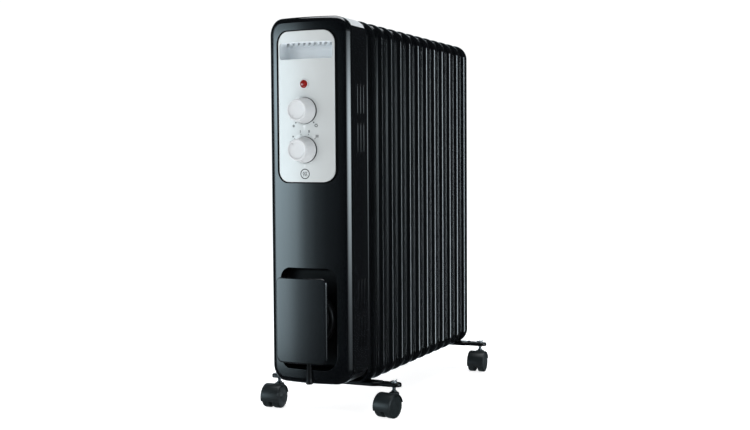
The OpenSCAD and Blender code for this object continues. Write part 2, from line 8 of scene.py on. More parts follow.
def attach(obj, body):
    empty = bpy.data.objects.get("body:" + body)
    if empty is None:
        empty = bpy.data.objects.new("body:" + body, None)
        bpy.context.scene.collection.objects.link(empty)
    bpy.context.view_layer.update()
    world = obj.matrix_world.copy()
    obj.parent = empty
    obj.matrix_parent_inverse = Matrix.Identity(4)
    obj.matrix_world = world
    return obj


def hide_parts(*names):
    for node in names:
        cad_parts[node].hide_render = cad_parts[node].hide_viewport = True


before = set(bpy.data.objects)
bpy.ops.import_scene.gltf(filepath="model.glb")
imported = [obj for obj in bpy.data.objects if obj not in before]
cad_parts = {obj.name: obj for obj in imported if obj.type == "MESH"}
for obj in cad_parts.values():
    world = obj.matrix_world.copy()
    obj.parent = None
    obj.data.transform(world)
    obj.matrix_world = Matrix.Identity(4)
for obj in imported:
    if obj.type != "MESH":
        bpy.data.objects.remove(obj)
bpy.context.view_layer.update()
MM = 0.001

# ---------- sizes, in millimetres ----------
TOP, CASE_BOTTOM, FIN_BOTTOM, BAR_TOP = 648.0, 63.0, 51.0, 55.0
Y_CASE, Y_FACE, Y_BACK, PANEL_FRONT = -258.6, -273.6, -193.6, -274.8
CROWN_R, CASE_W, CASE_R = 180.3, 144.0, 26.0
CASE_H, Z_CASE = TOP - CASE_BOTTOM, (TOP + CASE_BOTTOM) / 2
FIN_W, FIN_R, FIN_L, PITCH, FIN_START, BULGE = 148.0, 26.0, 39.8, 41.4, -192.6, 4.5
FIN_H, Z_FIN = TOP - FIN_BOTTOM, (TOP + FIN_BOTTOM) / 2
PANEL_W, PANEL_H, PANEL_R = 99.4, 239.0, 19
GRIP_W, GRIP_H, GRIP_R = 94, 27, 4.5
WELL_W, WELL_H, WELL_R = 101, 164, 20
PANEL_BOTTOM = TOP - 22.5 - PANEL_H
Z_PANEL, Z_GRIP, Z_LAMP = PANEL_BOTTOM + PANEL_H / 2, TOP - 53.5, PANEL_BOTTOM + 155
Z_THERMOSTAT, Z_SELECTOR, Z_RING = PANEL_BOTTOM + 113, PANEL_BOTTOM + 51, PANEL_BOTTOM + 13
Z_WELL = CASE_BOTTOM + 104.5
WELL_FLOOR = Y_FACE + 32
COVER_REACH = 24.5
BAR_ROWS, BOLT_SHIFT, BAR_BOTTOM = (-170.5, 272.8), (7.5, 0.0), BAR_TOP - 6.5
HUB_LOW = FIN_BOTTOM + 66
STEM_X, TRAIL, AXLE_Z, WHEEL_R, HOOD_TOP = 107.0, 18.0, 19.25, 19.25, 39.5
BODY = "heater_body"


# ---------- camera ----------
def make_camera():
    yaw, pitch, roll = radians(23.82), radians(2.77), -0.0066
    forward = Vector((-sin(yaw) * cos(pitch), cos(yaw) * cos(pitch), -sin(pitch)))
    right = Vector((cos(yaw), sin(yaw), 0))
    up = right.cross(forward)
    side = right * cos(roll) + up * sin(roll)
    top = up * cos(roll) - right * sin(roll)
    data = bpy.data.cameras.new("camera")
    data.lens, data.sensor_width = 54.68, 36
    data.clip_start, data.clip_end = 0.05, 60
    camera = bpy.data.objects.new("camera", data)
    turn = Matrix((side, top, -forward)).transposed().to_4x4()
    camera.matrix_world = Matrix.Translation((0.831, -1.8835, 0.421)) @ turn
    bpy.context.scene.collection.objects.link(camera)
    bpy.context.scene.camera = camera


make_camera()


# ---------- mesh helpers: every shape is a (vertices in mm, faces) pair ----------
def join(*shapes):
    verts, faces = [], []
    for v, f in shapes:
        base = len(verts)
        verts += [tuple(p) for p in v]
        faces += [[base + i for i in face] for face in f]
    return verts, faces


def moved(shape, matrix):
    return [tuple(matrix @ Vector(p)) for p in shape[0]], shape[1]


def mesh_from(name, shape, sharp=32):
    mesh = bpy.data.meshes.new(name)
    mesh.from_pydata([[c * MM for c in p] for p in shape[0]], [], shape[1])
    mesh.validate()
    bm = bmesh.new()
    bm.from_mesh(mesh)
    bmesh.ops.recalc_face_normals(bm, faces=bm.faces)
    bm.to_mesh(mesh)
    bm.free()
    mesh.shade_smooth()
    mesh.set_sharp_from_angle(angle=radians(sharp))
    return mesh


def link(obj):
    bpy.context.scene.collection.objects.link(obj)
    return obj


def loose(name, shape):
    return link(bpy.data.objects.new(name, mesh_from(name, shape)))


def cut(obj, *cutters):
    """Takes each (vertices, faces) solid away from obj, one after another."""
    for shape in cutters:
        tool = loose("cutter", shape)
        mod = obj.modifiers.new("cut", "BOOLEAN")
        mod.operation, mod.solver, mod.object = "DIFFERENCE", "EXACT", tool
        bpy.context.view_layer.update()
        dg = bpy.context.evaluated_depsgraph_get()
        mesh = bpy.data.meshes.new_from_object(obj.evaluated_get(dg))
        obj.modifiers.clear()
        obj.data = mesh
        bpy.data.objects.remove(tool)
    obj.data.shade_smooth()
    obj.data.set_sharp_from_angle(angle=radians(30))
    return obj


def piece(obj, material, body=BODY, stands_for=(), bevel=0.0, segments=2, angle=35):
    """Finishes an object as a piece: one material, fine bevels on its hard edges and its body."""
    obj.data.materials.clear()
    obj.data.materials.append(material)
    if bevel:
        mod = obj.modifiers.new("bevel", "BEVEL")
        mod.width, mod.segments, mod.limit_method = bevel * MM, segments, "ANGLE"
        mod.angle_limit = radians(angle)
        mod.miter_outer = "MITER_ARC"
        mod.use_clamp_overlap = True
        normals = obj.modifiers.new("normals", "WEIGHTED_NORMAL")
        normals.keep_sharp = True
        normals.weight = 60
    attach(obj, body)
    if stands_for:
        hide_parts(*stands_for)


def crown(x, grow=0.0):
    """Y of the crowned front moved outward by grow."""
    return Y_FACE + CROWN_R - sqrt((CROWN_R + grow) ** 2 - x * x)


def rounded(w, h, r, arc=8, cols=20, rows=20):
    """Grid-friendly rounded rectangle: rows of (x, z), left to right, from the bottom row to the top one."""
    levels = []
    for k in range(arc + 1):
        a = pi / 2 * k / arc
        levels.append((w / 2 - r + r * sin(a), -h / 2 + r - r * cos(a)))
    for k in range(1, rows):
        levels.append((w / 2, -h / 2 + r + (h - 2 * r) * k / rows))
    for k in range(arc + 1):
        a = pi / 2 * k / arc
        levels.append((w / 2 - r + r * cos(a), h / 2 - r + r * sin(a)))
    return [[(half * (2 * i / cols - 1), z) for i in range(cols + 1)] for half, z in levels]


def border(grid):
    """Outline of such a grid, once round it."""
    out = list(grid[0])
    out += [row[-1] for row in grid[1:-1]]
    out += list(reversed(grid[-1]))
    out += [row[0] for row in reversed(grid[1:-1])]
    return out


def slab(w, h, r, zc, front, back, round_front=0.0, round_back=0.0, **grid_size):
    """Rounded plate standing in XZ between two surfaces, each a number or a function of x, edges rounded."""
    front_at = front if callable(front) else (lambda x: front)
    back_at = back if callable(back) else (lambda x: back)
    verts, faces = [], []

    def outline(inset):
        return border(rounded(w - 2 * inset, h - 2 * inset, max(r - inset, 0.3), **grid_size))

    rings = []
    steps = 7
    for k in range(steps + 1) if round_front else [steps]:
        a = pi / 2 * k / steps
        inset = round_front * (1 - sin(a))
        rings.append([(x, front_at(x) + round_front * (1 - cos(a)), z) for x, z in outline(inset)])
    for k in range(steps, -1, -1) if round_back else [steps]:
        a = pi / 2 * k / steps
        inset = round_back * (1 - sin(a))
        rings.append([(x, back_at(x) - round_back * (1 - cos(a)), z) for x, z in outline(inset)])
    for surface, inset in ((front_at, round_front), (back_at, round_back)):
        grid = rounded(w - 2 * inset, h - 2 * inset, max(r - inset, 0.3), **grid_size)
        base, cols = len(verts), len(grid[0])
        verts += [(x, surface(x), z) for row in grid for x, z in row]
        faces += grid_faces(len(grid), cols, base)
        edge = [base + i for i in range(cols)]
        edge += [base + j * cols + cols - 1 for j in range(1, len(grid) - 1)]
        edge += [base + (len(grid) - 1) * cols + i for i in range(cols - 1, -1, -1)]
        edge += [base + j * cols for j in range(len(grid) - 2, 0, -1)]
        if surface is front_at:
            first = edge
        else:
            last = edge
    loops = [first]
    for ring in rings[1 if round_front else 0:len(rings) - (1 if round_back else 0)]:
        base = len(verts)
        verts += ring
        loops.append([base + i for i in range(len(ring))])
    loops.append(last)
    if not round_front:
        loops.pop(1)
    if not round_back:
        loops.pop(-2)
    for a, b in zip(loops, loops[1:]):
        n = len(a)
        faces += [[a[i], a[(i + 1) % n], b[(i + 1) % n], b[i]] for i in range(n)]
    return [(x, y, z + zc) for x, y, z in verts], faces


def block(x0, x1, y0, y1, z0, z1):
    v = [(x, y, z) for x in (x0, x1) for y in (y0, y1) for z in (z0, z1)]
    return v, [[0, 1, 3, 2], [4, 6, 7, 5], [0, 4, 5, 1], [2, 3, 7, 6], [0, 2, 6, 4], [1, 5, 7, 3]]


def lathe(profile, axis="z", origin=(0, 0, 0), sides=64, start=0.0, sweep=360.0, close=False):
    """Turns a profile of (radius, height) about an axis; close joins the profile's two ends."""
    full = abs(sweep - 360) < 1e-6
    n = sides if full else sides + 1
    verts, faces, rows = [], [], []
    for radius, height in profile:
        if radius < 1e-6 and full:
            rows.append([len(verts)] * n)
            verts.append((0, 0, height))
            continue
        rows.append([len(verts) + k for k in range(n)])
        for k in range(n):
            a = radians(start + sweep * k / sides)
            verts.append((radius * cos(a), radius * sin(a), height))
    pairs = list(zip(rows, rows[1:])) + ([(rows[-1], rows[0])] if close else [])
    for a, b in pairs:
        for k in range(n if full else n - 1):
            m = (k + 1) % n
            face = list(dict.fromkeys([a[k], a[m], b[m], b[k]]))
            if len(face) > 2:
                faces.append(face)
    if close and not full:
        faces.append([row[0] for row in rows])
        faces.append([row[-1] for row in reversed(rows)])
    elif full and not close:
        for row, flip in ((rows[0], True), (rows[-1], False)):
            if row[0] != row[-1] or len(set(row)) > 1:
                faces.append(list(reversed(row)) if flip else list(row))
    turn = {"z": lambda x, y, z: (x, y, z), "y": lambda x, y, z: (x, z, y),
            "x": lambda x, y, z: (z, x, y)}[axis]
    ox, oy, oz = origin
    out = []
    for p in verts:
        x, y, z = turn(*p)
        out.append((x + ox, y + oy, z + oz))
    return out, faces


def tube(points, radius, sides=12):
    """Round tube along points, closed by flat ends."""
    pts = [Vector(p) for p in points]
    verts, faces = [], []
    across = None
    radii = radius if isinstance(radius, list) else [radius] * len(pts)
    for i, p in enumerate(pts):
        t = (pts[min(i + 1, len(pts) - 1)] - pts[max(i - 1, 0)]).normalized()
        if across is None:
            across = t.orthogonal().normalized()
        across = (across - t * across.dot(t)).normalized()
        other = t.cross(across)
        for k in range(sides):
            a = 2 * pi * k / sides
            verts.append(tuple(p + radii[i] * (across * cos(a) + other * sin(a))))
    for i in range(len(pts) - 1):
        for k in range(sides):
            n = (k + 1) % sides
            faces.append([i * sides + k, (i + 1) * sides + k, (i + 1) * sides + n, i * sides + n])
    faces.append(list(range(sides)))
    faces.append([(len(pts) - 1) * sides + k for k in range(sides - 1, -1, -1)])
    return verts, faces


def grid_faces(rows, cols, base=0):
    """Squares between the points of a grid kept row by row."""
    corners = [base + j * cols + i for j in range(rows - 1) for i in range(cols - 1)]
    return [[at, at + 1, at + cols + 1, at + cols] for at in corners]


def ring_faces(count, n, closed=False):
    """Squares between rings of n points each; closed joins the last ring to the first."""
    pairs = [(j, (j + 1) % count) for j in range(count if closed else count - 1)]
    return [[j * n + i, j * n + (i + 1) % n, k * n + (i + 1) % n, k * n + i] for j, k in pairs
            for i in range(n)]


def slot_outline(radius, reach, step=30):
    """Long hole with round ends, whose end arcs are centred at plus and minus reach."""
    end = [(radius * sin(radians(a)), reach + radius * cos(radians(a))) for a in range(-90, 91, step)]
    return end + [(-p, -q) for p, q in end]


def prism(outline, z0, z1):
    """Upright prism over an outline of (x, y)."""
    n = len(outline)
    verts = [(x, y, z0) for x, y in outline] + [(x, y, z1) for x, y in outline]
    faces = [[i, (i + 1) % n, n + (i + 1) % n, n + i] for i in range(n)]
    return verts, faces + [list(range(n - 1, -1, -1)), list(range(n, 2 * n))]


def smooth_path(points, per=5):
    """Catmull-Rom curve through the points."""
    p = [Vector(q) for q in points]
    p = [2 * p[0] - p[1]] + p + [2 * p[-1] - p[-2]]
    out = []
    for i in range(1, len(p) - 2):
        for k in range(per):
            t = k / per
            a, b, c, d = p[i - 1], p[i], p[i + 1], p[i + 2]
            square, cube = 2 * a - 5 * b + 4 * c - d, 3 * b - a - 3 * c + d
            out.append(0.5 * (2 * b + (c - a) * t + square * t * t + cube * t ** 3))
    out.append(p[-2])
    return out


# ---------- materials ----------
def material(name, colour, rough, metal=0.0, coat=0.0, coat_rough=0.06, specular=0.5, vary=0.12, scale=60.0,
             rough_vary=0.05, grain=900.0, bump=0.04, depth=0.00002, wear_and_sheen=0.0, wear_and_sheen_colour=(0.3, 0.3, 0.3),
             dust=0.0, stretch=(1, 1, 1), transmission=0.0, emission=None):
    """Principled material whose colour, gloss and fine surface vary from place to place; convex edges can be
    lightened, part rub wear and part painted edge highlight.
    """
    m = bpy.data.materials.new(name)
    m.use_nodes = True
    t = m.node_tree
    nodes, links = t.nodes, t.links
    shader = nodes["Principled BSDF"]
    shader.inputs["Metallic"].default_value = metal
    shader.inputs["Specular IOR Level"].default_value = specular
    shader.inputs["Coat Weight"].default_value = coat
    shader.inputs["Coat Roughness"].default_value = coat_rough
    shader.inputs["Transmission Weight"].default_value = transmission
    if emission:
        shader.inputs["Emission Color"].default_value = (*emission[:3], 1)
        shader.inputs["Emission Strength"].default_value = emission[3]
    place = nodes.new("ShaderNodeTexCoord")
    mapping = nodes.new("ShaderNodeMapping")
    mapping.inputs["Scale"].default_value = stretch
    links.new(place.outputs["Object"], mapping.inputs["Vector"])

    def noise(size, detail=4.0, roughness=0.55):
        n = nodes.new("ShaderNodeTexNoise")
        n.inputs["Scale"].default_value = size
        n.inputs["Detail"].default_value = detail
        n.inputs["Roughness"].default_value = roughness
        links.new(mapping.outputs["Vector"], n.inputs["Vector"])
        return n.outputs["Fac"]

    def ramp(fac, low, high, at=(0.3, 0.7)):
        n = nodes.new("ShaderNodeValToRGB")
        n.color_ramp.elements[0].position, n.color_ramp.elements[1].position = at
        n.color_ramp.elements[0].color, n.color_ramp.elements[1].color = (*low, 1), (*high, 1)
        links.new(fac, n.inputs["Fac"])
        return n.outputs["Color"]

    def blend(fac, a, b):
        n = nodes.new("ShaderNodeMix")
        n.data_type = "RGBA"
        links.new(fac, n.inputs[0])
        links.new(a, n.inputs[6])
        n.inputs[7].default_value = (*b, 1)
        return n.outputs[2]

    cloud = noise(scale)
    tone = ramp(cloud, [c * (1 - vary) for c in colour], [min(1, c * (1 + vary)) for c in colour])
    # Painted edge highlight with rub wear: convex edges mixed toward a lighter colour through pointiness.
    if wear_and_sheen:
        geometry = nodes.new("ShaderNodeNewGeometry")
        wear_and_sheen_mask = ramp(geometry.outputs["Pointiness"], (0, 0, 0), (wear_and_sheen, wear_and_sheen, wear_and_sheen), (0.53, 0.62))
        tone = blend(wear_and_sheen_mask, tone, wear_and_sheen_colour)
    if dust:
        specks = ramp(noise(scale * 6, 6.0, 0.7), (0, 0, 0), (dust, dust, dust), (0.55, 0.8))
        tone = blend(specks, tone, (0.32, 0.31, 0.30))
    links.new(tone, shader.inputs["Base Color"])
    gloss = nodes.new("ShaderNodeMapRange")
    gloss.inputs["To Min"].default_value = max(0.02, rough - rough_vary)
    gloss.inputs["To Max"].default_value = min(1.0, rough + rough_vary)
    links.new(noise(scale * 2.3, 5.0), gloss.inputs["Value"])
    links.new(gloss.outputs["Result"], shader.inputs["Roughness"])
    relief = nodes.new("ShaderNodeBump")
    relief.inputs["Strength"].default_value = bump
    relief.inputs["Distance"].default_value = depth
    links.new(noise(grain, 3.0), relief.inputs["Height"])
    links.new(relief.outputs["Normal"], shader.inputs["Normal"])
    return m


ENAMEL = material("fin_enamel", (0.0020, 0.0025, 0.0031), 0.12, specular=0.35, coat=0.25, coat_rough=0.05,
                  scale=14, grain=420, bump=0.01, depth=0.00001, wear_and_sheen=0.04, wear_and_sheen_colour=(0.02, 0.023, 0.027),
                  dust=0.0006)
CASING = material("casing_black", (0.0019, 0.0024, 0.0032), 0.14, coat=1.0, coat_rough=0.05, scale=10,
                  grain=300, bump=0.006, depth=0.00001, rough_vary=0.02, wear_and_sheen=0.03,
                  wear_and_sheen_colour=(0.02, 0.023, 0.027), dust=0.0004)
# Near-white edge colour: painted rim highlight on the panel's edges, with rub wear.
SILVER = material("panel_silver", (0.562, 0.586, 0.584), 0.36, metal=0.12, coat=0.25, coat_rough=0.25,
                  vary=0.025, scale=24, grain=1800, bump=0.05, depth=0.00001, wear_and_sheen=0.5,
                  wear_and_sheen_colour=(0.86, 0.88, 0.89))
PEARL = material("knob_pearl", (0.60, 0.615, 0.625), 0.30, coat=0.4, coat_rough=0.16, vary=0.012, scale=70,
                 rough_vary=0.02, grain=1500, bump=0.015, depth=0.00001, wear_and_sheen=0.1,
                 wear_and_sheen_colour=(0.75, 0.76, 0.77))
WHITE = material("white_plastic", (0.83, 0.85, 0.86), 0.33, vary=0.03, scale=40, grain=1300, bump=0.06,
                 dust=0.03)
BLACK = material("black_plastic", (0.009, 0.010, 0.012), 0.40, specular=0.4, vary=0.2, scale=80, grain=1500,
                 bump=0.06, dust=0.006)
COVER = material("cover_black", (0.0035, 0.0045, 0.0058), 0.20, specular=0.6, coat=1.0, coat_rough=0.12,
                 vary=0.06, scale=30, rough_vary=0.02, grain=2000, bump=0.004, depth=0.00001, wear_and_sheen=0.03,
                 wear_and_sheen_colour=(0.03, 0.035, 0.04), dust=0.0005)
STORE = material("store_black", (0.0024, 0.0028, 0.0033), 0.4, specular=0.22, vary=0.15, scale=60,
                 rough_vary=0.04, grain=1500, bump=0.03, dust=0.001)
CAP = material("cap_black", (0.009, 0.011, 0.013), 0.36, specular=0.4, vary=0.12, scale=50, grain=1500,
               bump=0.05, dust=0.003)
RED = material("lamp_red", (0.24, 0.012, 0.010), 0.08, specular=1.0, coat=1.0, coat_rough=0.03, vary=0.15,
               scale=220, grain=600, bump=0.02, emission=(0.7, 0.03, 0.03, 0.01))
GLASS = material("lamp_glass", (0.95, 0.62, 0.40), 0.06, transmission=0.7, vary=0.1, scale=200, bump=0.01,
                 emission=(1.0, 0.45, 0.15, 0.3))
SWITCH = material("switch_body", (0.56, 0.52, 0.42), 0.5, vary=0.08, scale=120, grain=1200, bump=0.1)
STEEL = material("bright_steel", (0.60, 0.61, 0.63), 0.16, metal=1.0, vary=0.08, scale=240, grain=2200,
                 bump=0.05, stretch=(1, 1, 6))
ZINC = material("zinc", (0.47, 0.49, 0.51), 0.34, metal=0.95, vary=0.18, scale=160, grain=700, bump=0.08,
                dust=0.05)
SHEATH = material("element_sheath", (0.28, 0.26, 0.24), 0.4, metal=0.9, vary=0.25, scale=90, bump=0.1)
CORD = material("cord_black", (0.004, 0.0045, 0.0052), 0.36, specular=0.28, vary=0.2, scale=160, grain=1400,
                bump=0.06, dust=0.006)
PLUG = material("plug_black", (0.0065, 0.007, 0.008), 0.34, specular=0.45, vary=0.2, scale=120, grain=1700,
                bump=0.08, dust=0.006)
BRASS = material("pin_brass", (0.76, 0.68, 0.48), 0.2, metal=1.0, vary=0.1, scale=260, grain=1500, bump=0.04)
WIRE = material("wire_red", (0.35, 0.04, 0.03), 0.4, vary=0.12, scale=150, bump=0.06)
CASTER = material("caster_plastic", (0.013, 0.0172, 0.019), 0.36, specular=0.4, vary=0.10, scale=70,
                  grain=1300, bump=0.05, wear_and_sheen=0.2, wear_and_sheen_colour=(0.045, 0.05, 0.054), dust=0.008)
TREAD = material("wheel_plastic", (0.013, 0.0178, 0.0192), 0.36, specular=0.4, vary=0.10, scale=90,
                 grain=1100, bump=0.05, wear_and_sheen=0.2, wear_and_sheen_colour=(0.045, 0.05, 0.054), dust=0.01)
CERAMIC = material("ceramic_white", (0.78, 0.76, 0.69), 0.4, vary=0.06, scale=110, grain=900, bump=0.08)
# Lighter copy of the panel silver for the grip pocket: painted light, standing in for light reaching into the
# recess.
GRIP_PAINTED_LIGHT = material("grip_silver_painted_light", (0.80, 0.85, 0.88), 0.45, vary=0.02, scale=30, grain=1500, bump=0.04,
                depth=0.00001, wear_and_sheen=0.3, wear_and_sheen_colour=(0.9, 0.92, 0.93))
INK = material("panel_ink", (0.035, 0.037, 0.042), 0.5, vary=0.1, scale=400, grain=2500, bump=0.05)
# Dark grey for the rings at the knob bases: painted shadow.
SHADOW = material("knob_painted_shadow", (0.05, 0.053, 0.058), 0.45, vary=0.15, scale=200, grain=1500, bump=0.1)
# Matte black for the groove round the panel: painted shade of the shadow gap.
SHADOW_GAP_PAINT = material("panel_painted_shadow_gap", (0.002, 0.0022, 0.0025), 0.85, specular=0.06, vary=0.2, scale=200, grain=1500,
                bump=0.1)


# ---------- mains cord, its boot and its plug ----------
LEAD_ROUTE = [(5, -2.5, -73.5), (5, -2.7, -67), (5, -3.2, -60), (6, -4.2, -51.5), (8.5, -5.4, -43),
              (12.5, -6.6, -35), (18, -7.4, -28.5), (23.5, -7.4, -23), (28.5, -7, -16.5), (32, -6.6, -8.5),
              (33, -6.2, 0)]
TAIL_ROUTE = [(-40.5, 4, 0), (-40.5, 4, -6), (-40, 4.2, -12), (-38.5, 4.9, -18), (-36.2, 6, -24),
              (-34.6, 6.7, -30), (-34, 7, -36.5)]


def coil_point(turns):
    """Winding on the spool: four turns back along it, then two and a half further out, coming forward."""
    if turns <= 4:
        r, y = 33.0, -6.2 + 7.6 * turns
    elif turns <= 4.5:
        s = (turns - 4) / 0.5
        r, y = 33.0 + 7.5 * (3 * s * s - 2 * s ** 3), 24.2
    else:
        r, y = 40.5, 24.2 - 10.1 * (turns - 4.5)
    a = 2 * pi * turns
    return r * cos(a), y, r * sin(a)


def make_cord():
    turns = [coil_point(6.5 * k / 156) for k in range(1, 156)]
    line = smooth_path(LEAD_ROUTE, 3) + [Vector(p) for p in turns] + smooth_path(TAIL_ROUTE, 3)
    line = [Vector((p.x, p.y + Y_FACE, p.z + Z_WELL)) for p in line]
    obj = loose("mains_cord", tube(line, 3.7, 14))
    piece(obj, CORD, stands_for=("cord_lead", "cord_coil", "cord_tail"))

    px, py, pz, pr, pt = -34.0, Y_FACE + 13, Z_WELL - 60.5, 16.0, 20.0
    half = pt / 2
    disc = lathe([(0, -half), (9, -half), (11.5, -half + 0.5), (pr - 1.2, -half + 2.2), (pr, -half + 4.4),
                  (pr, -half + 8), (pr - 0.5, -half + 8.6), (pr - 0.5, half - 8.6), (pr, half - 8),
                  (pr, half - 1.6), (pr - 0.5, half - 0.5), (pr - 1.6, half), (0, half)], "x", (px, py, pz),
                  72)
    relief = [(6.9, 0)]
    for k in range(5):
        z, r = 15.0 + 1.8 * k, 6.1 - 0.33 * k
        relief += [(r, z - 0.1), (r, z + 0.9), (r - 0.55, z + 1.1), (r - 0.55, z + 1.6)]
    relief += [(4.5, 23.6), (4.1, 24.0)]
    ribs = []
    for k in range(-3, 4):
        ribs.append(block(px - half - 0.15, px - half + 0.6, py - 7 + abs(k) * 0.7, py + 7 - abs(k) * 0.7,
                          pz + k * 2.6 - 0.6, pz + k * 2.6 + 0.6))
    plug = loose("mains_plug_body", join(disc, lathe(relief, "z", (px, py - 6, pz), 40), *ribs))
    piece(plug, PLUG, stands_for=("plug_body",), bevel=0.25)
    pins = []
    for side in (-9.5, 9.5):
        pins.append(lathe([(0, -1), (2.4, -1), (2.4, 16.6), (2.3, 17.4), (1.9, 18.4), (1.1, 19), (0, 19)],
                          "x", (px + half, py, pz + side), 32))
        pins.append(lathe([(2.4, 0), (3.3, 0), (3.3, 0.5), (3.0, 0.9), (2.4, 0.9)], "x",
                          (px + half, py, pz + side), 32, close=True))
    pins = loose("mains_plug_pins", join(*pins))
    piece(pins, BRASS, stands_for=("plug_pins",))

    boot = [(5.4, 0), (5.4, 6.6), (5.1, 7.6), (4.9, 8)]
    for k in range(7):
        z, r = 9.2 + 2.9 * k, 4.95 - 0.1 * k
        boot += [(r, z), (r, z + 1.5), (r - 0.5, z + 1.75), (r - 0.5, z + 2.6)]
    boot += [(4.1, 29.6), (3.9, 30)]
    piece(loose("cord_strain_relief",
                lathe([(0, 0)] + boot + [(0, 30)], "z", (5, Y_FACE - 2.5, CASE_BOTTOM + 1), 40)), CORD,
          stands_for=("cord_boot",))


make_cord()


# ---------- fins ----------
def rim_section():
    """(depth below the crest, place along the fin) once round the folded sheet and its rolled hems."""
    half = [(7.0, 2.4), (6.4, 0.95), (5.6, 0.15), (4.75, 0.0), (4.1, 0.35), (3.8, 1.0), (3.85, 1.75),
            (3.72, 2.4), (3.35, 3.15)]
    steps = 14
    arch = [(BULGE * (2 * s / FIN_L - 1) ** 2, s)
            for s in [4.2 + (FIN_L - 8.4) * k / steps for k in range(steps + 1)]]
    outer = half + arch + [(d, FIN_L - s) for d, s in reversed(half)]
    inner = [(d + 1.2, s) for d, s in reversed(arch)]
    return outer + inner


def fin_rim(y):
    rings = []
    for depth, s in rim_section():
        outline = []
        r = FIN_R - depth
        w, h = FIN_W / 2 - FIN_R, FIN_H / 2 - FIN_R
        for cx, cz, start in ((w, -h, -90), (w, h, 0), (-w, h, 90), (-w, -h, 180)):
            for k in range(15):
                a = radians(start + 90 * k / 14)
                outline.append((cx + r * cos(a), cz + r * sin(a)))
            nx, nz = {(w, -h): (w, h), (w, h): (-w, h), (-w, h): (-w, -h), (-w, -h): (w, -h)}[(cx, cz)]
            a = radians(start + 90)
            x0, z0 = cx + r * cos(a), cz + r * sin(a)
            x1, z1 = nx + r * cos(a), nz + r * sin(a)
            steps = 6 if cx == nx else 3
            outline += [(x0 + (x1 - x0) * k / steps, z0 + (z1 - z0) * k / steps) for k in range(1, steps)]
        rings.append([(x, y + s, z + Z_FIN) for x, z in outline])
    return [p for ring in rings for p in ring], ring_faces(len(rings), len(rings[0]), closed=True)


def chamber_depth(x, z):
    """Height of the pressed oil chamber above the fin's flat sheet, at a place on it."""
    reach = FIN_H / 2 - 66
    gap = hypot(x, abs(z) - reach) - 33
    header = max(abs(x) - 39.5, abs(abs(z) - reach) - 13)
    gap = min(gap, header)
    for cx in (-32, 0, 32):
        gap = min(gap, max(abs(x - cx) - 7.5, abs(z) - reach))
    t = min(1.0, max(0.0, (3.0 - gap) / 5.0))
    return 4.8 * (3 * t * t - 2 * t ** 3)


def fin_plate(mid, step):
    w, h = FIN_W - 10.6, FIN_H - 10.6
    grid = rounded(w, h, FIN_R - 5.3, arc=6, cols=max(8, int(w / step)), rows=max(12, int(h / step)))
    cols = len(grid[0])
    verts, faces = [], []
    for side in (-1, 1):
        base = len(verts)
        verts += [(x, mid + side * (1.2 + chamber_depth(x, z)), z + Z_FIN) for row in grid for x, z in row]
        faces += grid_faces(len(grid), cols, base)
    return verts, faces


def make_fins():
    for i in range(12):
        y = FIN_START + PITCH * i
        obj = loose("fin_piece_%02d" % (i + 1), fin_rim(y))
        if i in (0, 10, 11):
            row = BAR_ROWS[0] if i == 0 else BAR_ROWS[1]
            cut(obj, block(-100, 100, row - 15, row + 15, 30, BAR_TOP + 0.4))
        plate = mesh_from("plate", fin_plate(y + FIN_L / 2, 3.2 if i in (0, 11) else 14.0), 50)
        bm = bmesh.new()
        bm.from_mesh(obj.data)
        bm.from_mesh(plate)
        bm.to_mesh(obj.data)
        bm.free()
        bpy.data.meshes.remove(plate)
        obj.data.shade_smooth()
        obj.data.set_sharp_from_angle(angle=radians(50))
        piece(obj, ENAMEL, stands_for=("fin_%02d" % (i + 1),))


make_fins()


# ---------- control box ----------
# Side vents: (centre above the bottom of the casing, height) of each row
VENT_ROWS = ((454.5, 46), (393, 46), (141.5, 46), (80, 50))


VENT_R, VENT_LIP_R, VENT_START, VENT_STEP = 1.5, 1.9, 31, 11.5
VENTS = [(side * CASE_W / 2, Y_CASE + VENT_START + VENT_STEP * i, z, h / 2 - VENT_R)
         for z, h in VENT_ROWS for i in range(3) for side in (-1, 1)]


def vent_slots():
    out = []
    for wall, y, z, reach in VENTS:
        v, f = prism(slot_outline(VENT_R, reach), wall - 6, wall + 6)
        out.append(([(r, y + p, CASE_BOTTOM + z + q) for p, q, r in v], f))
    return join(*out)


